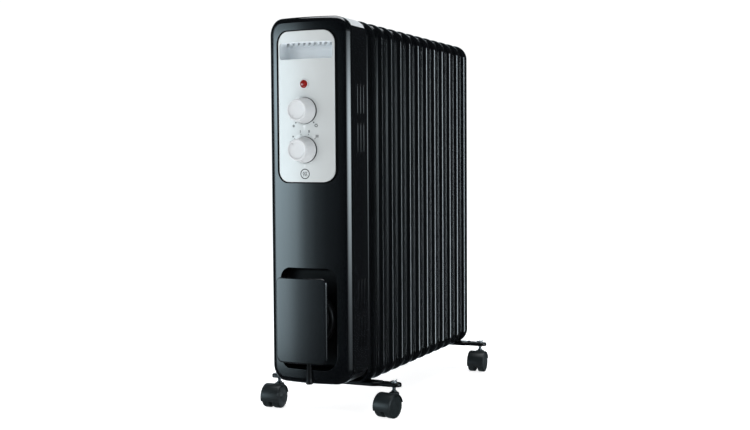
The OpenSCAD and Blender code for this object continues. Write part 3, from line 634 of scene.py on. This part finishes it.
def make_case():
    case = loose("front_casing_shell",
                 slab(CASE_W, CASE_H, CASE_R, Z_CASE, crown, Y_BACK, 9.0, 0.6, arc=14, cols=32, rows=24))
    inner = slab(CASE_W - 5, CASE_H - 5, CASE_R - 2.5, Z_CASE, lambda x: crown(x, -2.5), Y_BACK + 5, 7.0, 0,
                 arc=10, cols=24, rows=12)
    zone = Y_CASE + 12
    cut(case, inner,
        join(block(-90, 90, zone, 0, TOP - 15, TOP + 20), block(-90, 90, zone, 0, 30, CASE_BOTTOM + 15),
             vent_slots(), slab(PANEL_W - 2.4, PANEL_H - 2.4, PANEL_R - 1.2, Z_PANEL, Y_FACE - 6, Y_FACE + 25,
                                arc=8, cols=12, rows=10),
             slab(WELL_W, WELL_H, WELL_R, Z_WELL, Y_FACE - 6, Y_FACE + 25, arc=10, cols=12, rows=10)),
        slab(PANEL_W + 9.0, PANEL_H + 4.2, PANEL_R + 2.8, Z_PANEL, Y_FACE - 6, lambda x: crown(x, -1.0),
             arc=10, cols=20, rows=10),
        lathe([(0, 0), (6, 0), (6, 30), (0, 30)], "z", (5, Y_FACE - 2.5, CASE_BOTTOM - 1), 32))
    piece(case, CASING, stands_for=("front_casing",), bevel=0.9, segments=3)
    lips = []
    for wall, y, z, reach in VENTS:
        loop = slot_outline(VENT_LIP_R, reach, 20)
        lips.append(tube([Vector((wall, y + p, CASE_BOTTOM + z + q)) for p, q in loop + loop[:1]], 0.5, 8))
    piece(loose("vent_lips", join(*lips)), CASING)

    for end, name, paint, slot, node in ((1, "top_cap", WHITE, "white_plastic", "top_insert"),
                                         (-1, "bottom_cap", CAP, "casing_black", "bottom_insert")):
        cap = loose(name, slab(CASE_W, CASE_H, CASE_R, Z_CASE, zone + 0.3, zone + 51.5, 0.8, 1.6, arc=14,
                               cols=24, rows=8))
        edge = TOP - 14.7 if end > 0 else CASE_BOTTOM + 14.7
        slots = []
        for i in range(-5, 6):
            outline = [(i * 9.5 + p, zone + 22 + q) for p, q in slot_outline(2, 14)]
            z = TOP if end > 0 else CASE_BOTTOM
            slots.append(prism(outline, z - 6, z + 6))
        cut(cap, block(-90, 90, zone - 5, 0, *((30, edge) if end > 0 else (edge, 700))),
            slab(CASE_W - 4, CASE_H - 4, CASE_R - 2, Z_CASE, zone - 10, zone + 49.5, arc=10, cols=16, rows=8),
            join(*slots))
        piece(cap, paint, stands_for=(node,), bevel=0.4)


make_case()


def make_panel():
    panel = loose("control_panel_plate",
                  slab(PANEL_W, PANEL_H, PANEL_R, Z_PANEL, lambda x: crown(x, 1.2), lambda x: crown(x, -0.9),
                                              0.9, 0, arc=12, cols=28, rows=24))
    front = PANEL_FRONT - 3
    cut(panel, join(slab(GRIP_W, GRIP_H, GRIP_R, Z_GRIP, front, front + 30, arc=10, cols=12, rows=4),
                    *[lathe([(0, 0), (r, 0), (r, 30), (0, 30)], "y", (0, front, z), 64)
                      for r, z in ((6.2, Z_LAMP), (5.2, Z_THERMOSTAT), (5.2, Z_SELECTOR))]))
    cut(panel, join(*[lathe([(21.4, 0), (23.0, 0), (23.0, 3.9), (21.4, 3.9)], "y", (0, front, z), 96,
                            close=True)
                      for z in (Z_THERMOSTAT, Z_SELECTOR)]))
    piece(panel, SILVER, stands_for=("control_panel",), bevel=0.35)

    # Thin matte black sheet in the groove round the panel: painted shade for the shadow gap.
    shadow_gap = loose("panel_painted_shadow_gap",
                 slab(PANEL_W + 8.6, PANEL_H + 3.8, PANEL_R + 2.6, Z_PANEL, lambda x: crown(x, -0.5),
                                    lambda x: crown(x, -0.95), arc=12, cols=28, rows=24))
    cut(shadow_gap, slab(PANEL_W - 1.6, PANEL_H - 1.6, PANEL_R - 0.8, Z_PANEL, front, front + 30, arc=12, cols=12,
                   rows=10))
    piece(shadow_gap, SHADOW_GAP_PAINT)

    pocket = loose("grip_pocket",
                   slab(96.6, 29.6, 5.8, Z_GRIP, Y_FACE - 1, Y_FACE + 41.3, 0, 1.5, arc=10, cols=24, rows=6))
    slots, skew = [], 7.0
    for i in range(-4, 5):
        x = i * 9.6
        outline = [(x - 2.2 + skew, Y_FACE + 7), (x + 2.2 + skew, Y_FACE + 7), (x + 2.2 - skew, Y_FACE + 31),
                   (x - 2.2 - skew, Y_FACE + 31)]
        slots.append(prism(outline, Z_GRIP + 5, Z_GRIP + 19))
    hollow, faces = slab(GRIP_W, GRIP_H, GRIP_R, Z_GRIP, Y_FACE - 6, Y_FACE + 39.5, 0, 8.0, arc=10, cols=24,
                         rows=6)
    hollow = [(x, y, z - max(0, y - Y_FACE) * 0.11 * max(0, z - Z_GRIP) / 13.5) for x, y, z in hollow]
    cut(pocket, (hollow, faces),
        slab(140, 80, 5, Z_GRIP, Y_FACE - 12, lambda x: crown(x, -1.0), arc=4, cols=24, rows=4), join(*slots))
    # The pocket takes the lighter silver: painted light inside the recess.
    piece(pocket, GRIP_PAINTED_LIGHT, stands_for=("grip_recess",), bevel=0.3)

    rim = [(5.0, 13.8), (5.0, -1.1), (5.4, -1.5), (7.2, -1.5), (7.9, -1.1), (8.0, -0.4), (8.0, 0), (6.1, 0.1),
           (6.1, 15.6), (0.6, 15.8)]
    piece(loose("lamp_bezel", lathe(rim, "y", (0, PANEL_FRONT, Z_LAMP), 64)), PEARL,
          stands_for=("lamp_rim",))
    lens = [(9 * sin(radians(a)), 4.6 - 9 * cos(radians(a))) for a in range(0, 45, 4)]
    lens += [(6.5, -1.75), (6.3, -1.58), (4.95, -1.56), (4.95, 10), (3.6, 10), (3.6, 1), (0, 1)]
    piece(loose("lamp_dome", lathe(lens, "y", (0, PANEL_FRONT, Z_LAMP), 64)), RED,
          stands_for=("lamp_lens",))
    # Dark rings round each knob base: painted shadow in the gap between knob and panel.
    for name, z in (("thermostat", Z_THERMOSTAT), ("selector", Z_SELECTOR)):
        ring = lathe([(19, -0.15), (21.3, -0.15), (21.3, 0.6), (19, 0.6)], "y", (0, PANEL_FRONT + 0.1, z), 96,
                     close=True)
        obj = loose(name + "_painted_shadow_ring", ring)
        for v in obj.data.vertices:
            v.co.y += (crown(v.co.x / MM, 1.2) - PANEL_FRONT) * MM
        piece(obj, SHADOW)


make_panel()


# ---------- knobs ----------
def make_knob(name, z, pointer, body, node):
    front = PANEL_FRONT - 0.8
    profile = [(0, 0), (19.8, 0), (20.3, -0.25), (20.5, -0.7), (20.5, -2.3), (20.3, -2.8), (19.9, -3.05),
               (19.55, -3.2), (19.4, -3.6)]
    for k in range(1, 9):
        t = k / 8
        profile.append((19.4 - 2.1 * t, -3.6 - 21.4 * t))
    profile += [(16.85, -25.15), (16.75, -25.4), (16.95, -25.75), (16.7, -26.4), (16.1, -26.85), (15.4, -27),
                (14.6, -26.9), (14.1, -26.5), (13.8, -26.0), (13.3, -25.7), (12.4, -25.55), (6, -25.45),
                (0, -25.4)]
    body_shape = lathe(profile, "y", (0, front, z), 128)
    a = radians(pointer)
    rib = []
    for t in (0, 0.03, 0.2, 0.8, 0.97, 1):
        r = 19.5 - 2.3 * t
        rib.append(Vector((r * sin(a), front - 4 - 21.2 * t, z + r * cos(a))))
    rib += [Vector((q * sin(a), front - 26.6 + 0.5 * (16 - q) / 5, z + q * cos(a)))
            for q in (16.4, 15, 12, 9.5)]
    mark = tube(rib, [0.3, 0.9, 1.0, 1.0, 1.0, 1.0, 0.9, 0.8, 0.7, 0.3], 10)
    piece(loose(name, join(body_shape, mark)), PEARL, body=body, stands_for=(node,))


make_knob("thermostat_dial_knob", Z_THERMOSTAT, -140, "thermostat_dial", "thermostat_knob")
make_knob("selector_dial_knob", Z_SELECTOR, -45, "selector_dial", "selector_knob")


# ---------- printed marks: thin ink strokes that follow the crowned panel ----------
def ink(points, width, closed=False):
    pts = [Vector((p[0], 0, p[1])) for p in points]
    n = len(pts)
    verts, faces = [], []
    for i, p in enumerate(pts):
        a = pts[(i - 1) % n] if closed or i else p
        b = pts[(i + 1) % n] if closed or i < n - 1 else p
        t = (b - a).normalized()
        side = Vector((-t.z, 0, t.x)) * width / 2
        for q in (p + side, p - side):
            verts += [(q.x, crown(q.x, 1.2) - 0.07, q.z), (q.x, crown(q.x, 1.2) + 0.05, q.z)]
    for i in range(n if closed else n - 1):
        a, b = 4 * i, 4 * ((i + 1) % n)
        faces += [[a, b, b + 2, a + 2], [a + 1, a + 3, b + 3, b + 1], [a, a + 1, b + 1, b],
                  [a + 2, b + 2, b + 3, a + 3]]
    return verts, faces


def arc_points(cx, cz, r, start, end, steps=24):
    """Angles run clockwise from up."""
    return [(cx + r * sin(radians(start + (end - start) * k / steps)),
             cz + r * cos(radians(start + (end - start) * k / steps))) for k in range(steps + 1)]


def dot(cx, cz, r):
    return ink(arc_points(cx, cz, r / 2, 0, 345, 23), r, True)


def make_marks():
    marks = []
    z = Z_THERMOSTAT
    for a in range(-140, 141, 280):
        marks.append(dot(24.6 * sin(radians(a)), z + 24.6 * cos(radians(a)), 1.2))
    for a, r in ((-140, 1.0), (140, 1.9)):
        cx, cz = 31.0 * sin(radians(a)), z + 31.0 * cos(radians(a))
        marks.append(ink(arc_points(cx, cz, r, 0, 345, 23), 0.8, True))
        for k in range(6 if r < 1.5 else 8):
            b = 2 * pi * k / (6 if r < 1.5 else 8)
            marks.append(ink([(cx + (r + 0.5) * sin(b), cz + (r + 0.5) * cos(b)),
                              (cx + (r + 1.5) * sin(b), cz + (r + 1.5) * cos(b))], 0.6))
    z = Z_SELECTOR
    for k, a in enumerate((-45, -15, 15, 45)):
        s, c = sin(radians(a)), cos(radians(a))
        marks.append(ink([(24.2 * s, z + 24.2 * c), (26.4 * s, z + 26.4 * c)], 0.9))
        cx, cz = 30.2 * s, z + 30.2 * c
        if k == 0:
            marks.append(dot(cx, cz, 1.3))
        for j in range(k):
            x = cx + (j - (k - 1) / 2) * 1.7
            marks.append(ink([(x, cz - 2.1), (x, cz + 2.1)], 0.9))
    cx, cz = 0.0, Z_RING
    marks.append(ink(arc_points(cx, cz, 7.5, 0, 354, 59), 1.5, True))
    for dx in (-2.7, 0, 2.7):
        marks.append(ink([(cx + dx + 0.8 * sin(k * pi / 4), cz - 3.6 + 7.2 * k / 10) for k in range(11)],
                         1.1))
    piece(loose("panel_marks", join(*marks)), INK)


make_marks()


# ---------- cord store ----------
def make_store():
    well = loose("cord_store_pocket",
                 slab(105, 168, 22, Z_WELL, Y_FACE - 1, WELL_FLOOR + 2, 0, 2.0, arc=12, cols=20, rows=12))
    cut(well, slab(WELL_W, WELL_H, WELL_R, Z_WELL, Y_FACE - 6, WELL_FLOOR, 0, 7.0, arc=12, cols=20, rows=12),
        slab(140, 200, 5, Z_WELL, Y_FACE - 12, lambda x: crown(x, -2.6), arc=4, cols=24, rows=4))
    piece(well, STORE, stands_for=("cord_well",), bevel=0.3)
    back = Y_FACE - COVER_REACH + 4
    spool = [(0, back - 2), (27, back - 2), (29, back + 3), (29, back + 6), (28.4, back + 7),
             (28.4, WELL_FLOOR - 4), (29, WELL_FLOOR - 2.5), (31.5, WELL_FLOOR), (0, WELL_FLOOR)]
    hub = loose("cord_store_spool", lathe(spool, "y", (0, 0, Z_WELL), 72))
    cut(hub, slab(100, 100, 5, Z_WELL, back - 12, lambda x: crown(x, COVER_REACH - 4), arc=4, cols=24,
                  rows=4))
    piece(hub, STORE, stands_for=("cord_spool",))
    lip = []
    for k in range(41):
        x, z = 50.5, -40 - 1.05 * k
        if k > 21:
            a = radians(90 * min(1, (k - 21) / 9))
            x, z = 30.5 + 20 * cos(a), -62 - 20 * sin(a)
        if k > 30:
            x, z = 30.5 - 7.0 * (k - 30), -82
        lip.append(Vector((x, crown(x, 0.1), Z_WELL + z)))
    piece(loose("cord_store_lip", tube(lip, [0.3] + [0.9] * 39 + [0.3], 12)), CASING)
    cover = loose("cord_store_cover", slab(89, 136, 9, Z_WELL, lambda x: crown(x, COVER_REACH),
                                           lambda x: crown(x, COVER_REACH - 4), 2.2, 0.6, arc=10, cols=28,
                                           rows=20))
    piece(cover, COVER, stands_for=("cord_cover",))


make_store()


# ---------- feet ----------
def bar_outline(inset):
    r, half, wide, full = 9 - inset, 14 - inset, 78.0, 120.0
    out = []
    for sx, order in ((1, 1), (-1, -1)):
        quarter = []
        for k in range(9):
            s = k / 8
            quarter.append((wide - 6 + 14 * s, half + (r - half) * (3 * s * s - 2 * s ** 3)))
        quarter += [(full - 9 + r * sin(radians(a)), r * cos(radians(a))) for a in range(0, 91, 10)]
        lower = [(x, -y) for x, y in reversed(quarter[:-1])]
        side = quarter + lower
        out += side if sx > 0 else [(-x, -y) for x, y in side]
    return out


def make_feet():
    for row, name, node in zip(BAR_ROWS, ("foot_bar_front_piece", "foot_bar_rear_piece"),
                               ("foot_bar_front", "foot_bar_rear")):
        rings = [(1.5, 4.7), (1.5, 0.4), (1.1, 0), (0.4, 0), (0, 0.4), (0, 4.3), (0.35, 5.4), (1.1, 6.2),
                 (2.0, 6.5)]
        verts = [(x, y + row, BAR_BOTTOM + z) for inset, z in rings for x, y in bar_outline(inset)]
        n = len(bar_outline(0))
        faces = ring_faces(len(rings), n)
        faces += [list(range(n - 1, -1, -1)), [(len(rings) - 1) * n + i for i in range(n)]]
        dome = [(3.6, -0.4), (3.6, 0.6), (3.1, 1.4), (2.2, 2.0), (1.1, 2.3), (0, 2.4)]
        bosses = [lathe([(0, -0.4)] + dome, "z", (x, row, BAR_TOP), 28) for x in (-84, 84)]
        bead = [tube([Vector((sx * x, row, BAR_TOP + z)) for x,
                      z in ((88.5, -0.9), (90, -0.3), (98, -0.3), (100, -0.9))], 1.6, 12)
                for sx in (-1, 1)]
        obj = loose(name, join((verts, faces), *bosses, *bead))
        piece(obj, ENAMEL, stands_for=(node,))

    hardware = []
    for row, shift in zip(BAR_ROWS, BOLT_SHIFT):
        r, y, foot = 27.9, row + shift, BAR_BOTTOM - 4
        legs = HUB_LOW - foot
        path = [Vector((r, y, foot + legs * k / 10)) for k in range(10)]
        path += [Vector((r * cos(pi * k / 24), y, HUB_LOW + r * sin(pi * k / 24))) for k in range(25)]
        path += [Vector((-r, y, HUB_LOW - legs * k / 10)) for k in range(1, 11)]
        hardware.append(tube(path, 2.5, 16))
        for x in (-r, r):
            base = BAR_TOP - 5.7
            nut = [(2.5, 0), (4.3, 0), (4.6, 0.4), (4.6, 3.6), (4.3, 4), (2.5, 4)]
            hardware.append(lathe([(a, base + b) for a, b in nut], "z", (x, y, 0), 6, close=True))
            for k in range(4):
                z = foot + 0.3 + 0.95 * k
                hardware.append(lathe([(2.4, z), (2.7, z + 0.3), (2.4, z + 0.6)], "z", (x, y, 0), 24,
                                      close=True))
        for sx in (-1, 1):
            x = sx * STEM_X
            hub = [(3.05, 0), (4.9, 0), (5.2, 0.3), (4.9, 1.6), (4.4, 2.5), (4.1, 2.8), (3.05, 2.9)]
            hardware.append(lathe([(a, BAR_TOP + b) for a, b in hub], "z", (x, row, 0), 32, close=True))
            turn = radians(78 if row < 0 else 60)
            for way in (-1, 1):
                wing = [Vector((x + way * q * cos(turn), row + way * q * sin(turn), BAR_TOP + z))
                        for q, z in ((3.4, 1.5), (4.6, 1.9), (6.0, 2.5), (7.4, 3.1), (8.3, 3.4), (8.7, 3.5))]
                hardware.append(tube(wing, [0.8, 1.0, 1.15, 1.15, 0.9, 0.3], 10))
    piece(loose("foot_hardware", join(*hardware)), ZINC, stands_for=("foot_fasteners",))


make_feet()


# ---------- casters ----------
CASTERS = (("front_left", -1, 0, 0), ("front_right", 1, 0, -12), ("rear_left", -1, 1, -4),
           ("rear_right", 1, 1, 3))


def hood_shape():
    r, w = WHEEL_R + 2.2, 16.4
    cross = [(r - 1.7, -w), (r - 1.0, -w), (r - 0.35, -w + 0.55), (r, -w + 1.7), (r, w - 1.7),
             (r - 0.35, w - 0.55), (r - 1.0, w), (r - 1.7, w), (r - 1.45, w - 1.2), (r - 1.45, -w + 1.2)]
    fender = lathe([(a, b) for a, b in cross], "x", (0, -TRAIL, AXLE_Z), 40, 12.8, 184.1, close=True)
    sector = [(0.0, 0.0)] + [((r - 1) * cos(radians(a)), (r - 1) * sin(radians(a)))
                             for a in range(13, 198, 5)]
    n = len(sector)
    web = ([(x, y - TRAIL, z + AXLE_Z) for x in (-2.7, 2.7) for y, z in sector],
           [list(range(n)), list(range(2 * n - 1, n - 1, -1))] + [[i, (i + 1) % n, n + (i + 1) % n, n + i]
                   for i in range(n)])
    boss = lathe([(3.1, 24), (7.6, 24), (8.5, 25), (8.5, HOOD_TOP - 2.8), (8.1, HOOD_TOP - 1.2),
                  (7.0, HOOD_TOP - 0.2), (5.6, HOOD_TOP), (3.1, HOOD_TOP)], "z", (0, 0, 0), 48, close=True)
    neck = []
    for y, half, low, high in ((-15, 8.2, 27, 35.2), (-10, 8.2, 26.5, 35.8), (-4, 7.6, 26.2, 36.6),
                               (0, 7.0, 26, 37)):
        ring = []
        for k in range(16):
            a = 2 * pi * k / 16
            cx, cz = cos(a), sin(a)
            ring.append((half * copysign(abs(cx) ** 0.5, cx), y,
                         (low + high) / 2 + (high - low) / 2 * copysign(abs(cz) ** 0.5, cz)))
        neck.append(ring)
    nv = [p for ring in neck for p in ring]
    nf = ring_faces(4, 16)
    nf += [list(range(16)), list(range(63, 47, -1))]
    axle = lathe([(0, -12.4), (2.1, -12.4), (2.5, -12), (2.5, 12), (2.1, 12.4), (0, 12.4)], "x",
                 (0, -TRAIL, AXLE_Z), 32)
    return join(fender, web, boss, (nv, nf), axle)


def wheel_shape(side):
    profile = [(2.6, 3.4), (17.6, 3.4), (18.7, 3.8), (19.15, 4.6), (19.25, 5.6), (19.25, 13.0), (19.1, 14.1),
               (18.6, 15.0), (17.8, 15.6), (16.9, 15.85), (15.9, 15.9), (15.5, 15.75), (15.1, 15.6),
               (14.6, 15.55), (7.0, 15.6), (6.5, 15.65), (6.2, 15.75), (5.7, 15.8), (0, 15.8), (0, 13.1),
               (2.6, 13.1)]
    return lathe([(r, side * x) for r, x in profile], "x", (0, -TRAIL, AXLE_Z), 72, close=True)


def make_casters():
    stems = []
    for name, sx, row, yaw in CASTERS:
        place = Matrix.Translation((sx * STEM_X, BAR_ROWS[row], 0)) @ Matrix.Rotation(radians(yaw), 4, "Z")
        hood = loose("caster_hood_" + name, moved(hood_shape(), place))
        piece(hood, CASTER, body="caster_" + name, stands_for=("hood_" + name,))
        for side, label in ((-1, "left"), (1, "right")):
            wheel = loose("caster_wheel_%s_%s" % (name, label), moved(wheel_shape(side), place))
            node = "wheel_%s_%s" % (name, label)
            piece(wheel, TREAD, body=node + "_body", stands_for=(node,))
        t = HOOD_TOP
        pin = [(0, 28.5), (2.4, 28.5), (3, 29.1), (3, t + 0.2), (4.2, t + 0.4), (4.6, t + 0.8),
               (4.6, t + 2.0), (4.2, t + 2.4), (3, t + 2.6)]
        t = BAR_TOP - 5.1
        pin += [(3, t - 0.2), (3, t), (4.7, t), (5, t + 0.3), (5, t + 3.3), (4.7, t + 3.6), (3, t + 3.6)]
        for k in range(6):
            z = BAR_TOP - 1.4 + 0.8 * k
            pin += [(2.75, z), (3.0, z + 0.25), (3.0, z + 0.45), (2.75, z + 0.7)]
        pin += [(2.4, BAR_TOP + 3.6), (0, BAR_TOP + 3.6)]
        stems.append(moved(lathe(pin, "z", (0, 0, 0), 32), place))
    piece(loose("caster_stem_set", join(*stems)), STEEL, stands_for=("caster_stems",))


make_casters()

# ---------- CAD nodes that stay, with their materials ----------
KEPT = {
    "oil_collars": ENAMEL, "heating_elements": SHEATH, "element_flange": ZINC, "rear_plate": ZINC,
    "casing_screws": ZINC, "neon_lamp": GLASS, "thermostat_body": SWITCH, "thermostat_shaft": ZINC,
    "selector_body": BLACK, "selector_shaft": ZINC, "thermal_cutout": CERAMIC, "tip_over_switch": BLACK,
    "terminal_block": CERAMIC, "wiring": WIRE,
}
for node, paint in KEPT.items():
    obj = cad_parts[node]
    if obj.material_slots:
        for s in obj.material_slots:
            s.material = paint
    else:
        obj.data.materials.append(paint)


# ---------- floor, light and surroundings ----------
def glow_wall(name, centre, radius, around, upward, colour):
    """Curved light wall: around has (azimuth from -Y to +X, radiance), upward has (height, share)."""
    def spread(steps, size):
        out = []
        for (a0, l0), (a1, l1) in zip(steps, steps[1:]):
            n = max(1, int(abs(a1 - a0) / size))
            out += [(a0 + (a1 - a0) * k / n, l0 + (l1 - l0) * k / n) for k in range(n)]
        return out + [steps[-1]]

    columns, rows = spread(around, 3), spread(upward, 0.1)
    verts, glow = [], []
    for a, level in columns:
        x, y = centre[0] + radius * sin(radians(a)), centre[1] - radius * cos(radians(a))
        verts += [(x, y, z) for z, share in rows]
        glow += [level * share for z, share in rows]
    n = len(rows)
    faces = [[i * n + j, (i + 1) * n + j, (i + 1) * n + j + 1, i * n + j + 1]
             for i in range(len(columns) - 1) for j in range(n - 1)]
    mesh = bpy.data.meshes.new(name)
    mesh.from_pydata(verts, [], faces)
    layer = mesh.attributes.new("glow", "FLOAT", "POINT")
    layer.data.foreach_set("value", glow)
    m = bpy.data.materials.new(name)
    m.use_nodes = True
    t = m.node_tree
    t.nodes.clear()
    kinds = "OutputMaterial", "Emission", "Attribute"
    out, emit, read = [t.nodes.new("ShaderNode" + kind) for kind in kinds]
    read.attribute_name = "glow"
    emit.inputs["Color"].default_value = (*colour, 1)
    t.links.new(read.outputs["Fac"], emit.inputs["Strength"])
    t.links.new(emit.outputs[0], out.inputs["Surface"])
    mesh.materials.append(m)
    obj = bpy.data.objects.new(name, mesh)
    link(obj)
    obj.visible_camera = False
    obj.visible_diffuse = False
    obj.visible_shadow = False


def area(name, at, target, width, height, power, colour=(1, 1, 1), glossy=True):
    data = bpy.data.lights.new(name, "AREA")
    data.shape, data.size, data.size_y, data.energy, data.color = "RECTANGLE", width, height, power, colour
    lamp = bpy.data.objects.new(name, data)
    aim = Vector(target) - Vector(at)
    lamp.location = at
    lamp.rotation_mode = "QUATERNION"
    lamp.rotation_quaternion = aim.to_track_quat("-Z", "Y")
    lamp.visible_camera = False
    lamp.visible_glossy = glossy
    link(lamp)


def make_studio():
    mesh = bpy.data.meshes.new("studio_floor")
    size, n = 14.0, 24
    verts = [(-size + 2 * size * i / n, -size + 2 * size * j / n, 0) for j in range(n + 1)
             for i in range(n + 1)]
    mesh.from_pydata(verts, [], grid_faces(n + 1, n + 1))
    floor = bpy.data.objects.new("studio_floor", mesh)
    link(floor)
    paint = material("studio_floor", (0.92, 0.925, 0.93), 0.85, vary=0.004, scale=3, grain=60, bump=0.01,
                     specular=0.1, emission=(1.0, 1.0, 1.0, 0.82))
    mesh.materials.append(paint)
    floor.visible_glossy = False
    floor.visible_shadow = False

    world = bpy.data.worlds.new("studio")
    bpy.context.scene.world = world
    world.use_nodes = True
    t = world.node_tree
    t.nodes.clear()
    out = t.nodes.new("ShaderNodeOutputWorld")
    path = t.nodes.new("ShaderNodeLightPath")
    mix, inner = t.nodes.new("ShaderNodeMixShader"), t.nodes.new("ShaderNodeMixShader")
    shades = []
    for colour, strength in (((1, 1, 1, 1), 1.05), ((0.80, 0.90, 1.0, 1), 0.022),
                             ((0.92, 0.96, 1.0, 1), 0.30)):
        shade = t.nodes.new("ShaderNodeBackground")
        shade.inputs["Color"].default_value = colour
        shade.inputs["Strength"].default_value = strength
        shades.append(shade)
    t.links.new(path.outputs["Is Glossy Ray"], inner.inputs[0])
    t.links.new(shades[2].outputs[0], inner.inputs[1])
    t.links.new(shades[1].outputs[0], inner.inputs[2])
    t.links.new(path.outputs["Is Camera Ray"], mix.inputs[0])
    t.links.new(inner.outputs[0], mix.inputs[1])
    t.links.new(shades[0].outputs[0], mix.inputs[2])
    t.links.new(mix.outputs[0], out.inputs["Surface"])

    glow_wall("glow_left", (0.0, -0.27), 2.3,
              [(-71.5, 0.0), (-68.5, 3.2), (-63.5, 3.2), (-51.2, 3.0), (-39.3, 2.3), (-33, 1.42),
               (-27.3, 0.82), (-15.3, 0.32), (-3.1, 0.14), (9.3, 0.08), (20, 0.03), (30, 0.0)],
              [(-0.40, 0.0), (-0.34, 0.06), (-0.32, 0.2), (-0.27, 0.68), (-0.1, 0.8), (0.1, 0.88),
               (0.35, 1.0), (0.6, 1.3), (0.7, 1.35), (0.84, 1.0), (0.91, 0.2), (1.0, 0.05), (1.3, 0.0)],
               (0.70, 0.90, 1.0))
    glow_wall("glow_right", (0.07, -0.25), 2.1,
              [(52, 0.0), (61, 3.3), (80, 6.8), (106, 6.3), (112, 0.0)],
              [(-0.6, 0.0), (-0.3, 0.05), (-0.14, 0.12), (-0.02, 0.22), (0.09, 0.38), (0.2, 0.54),
               (0.31, 0.72), (0.42, 0.88), (0.53, 1.0), (0.65, 0.84), (0.7, 0.66), (0.76, 0.45), (0.82, 0.3),
               (0.87, 0.15), (1.0, 0.04), (1.3, 0.0)],
              (0.80, 0.93, 1.0))
    area("fin_strip", (3.6, 4.9, 0.13), (0.07, 0.05, 0.33), 0.46, 3.2, 31.0, (0.80, 0.92, 1.0))
    card = bpy.data.meshes.new("flag")
    near, far = Vector((0.956, 1.203, -1.5)), Vector((1.44, 0.851, -1.5))
    rise = Vector((0, 0, 4))
    card.from_pydata([near, far, far + rise, near + rise], [], [[0, 1, 2, 3]])
    flag = bpy.data.objects.new("flag", card)
    link(flag)
    card.materials.append(material("flag_cloth", (0.01, 0.01, 0.01), 0.9, specular=0.0, vary=0.1, scale=4,
                                   grain=40, bump=0.01))
    flag.visible_camera = False
    glow_wall("glow_rear", (0.0, 0.0), 2.6,
              [(-178, 0.0), (-168, 0.7), (-150, 0.8), (-128, 0.6), (-116, 0.25), (-108, 0.0)],
              [(-4.0, 0.3), (-2.0, 0.5), (-0.6, 0.75), (0.2, 1.0), (1.1, 1.0), (2.2, 0.0)], (0.80, 0.93, 1.0))
    area("left_strip", (-4.6, 3.86, 0.2), (-0.07, 0.1, 0.33), 0.5, 3.2, 30, (0.85, 0.94, 1.0))
    area("top_soft", (0.1, 0.1, 2.4), (0.0, 0.0, 0.6), 1.6, 1.8, 30, (0.93, 0.97, 1.0))
    area("front_fill", (-0.9, -2.7, 1.0), (0, -0.27, 0.4), 1.6, 1.6, 17.5, (1.0, 0.985, 0.975), glossy=False)
    area("side_fill", (2.6, -0.9, 1.1), (0, 0, 0.3), 1.6, 1.6, 8, (0.97, 0.985, 1.0), glossy=False)
    area("left_fill", (-2.6, -0.9, 0.9), (0, -0.2, 0.4), 1.2, 1.6, 18, (0.97, 0.985, 1.0), glossy=False)


make_studio()
bpy.context.scene.view_settings.view_transform = "Standard"

bpy.context.view_layer.update()
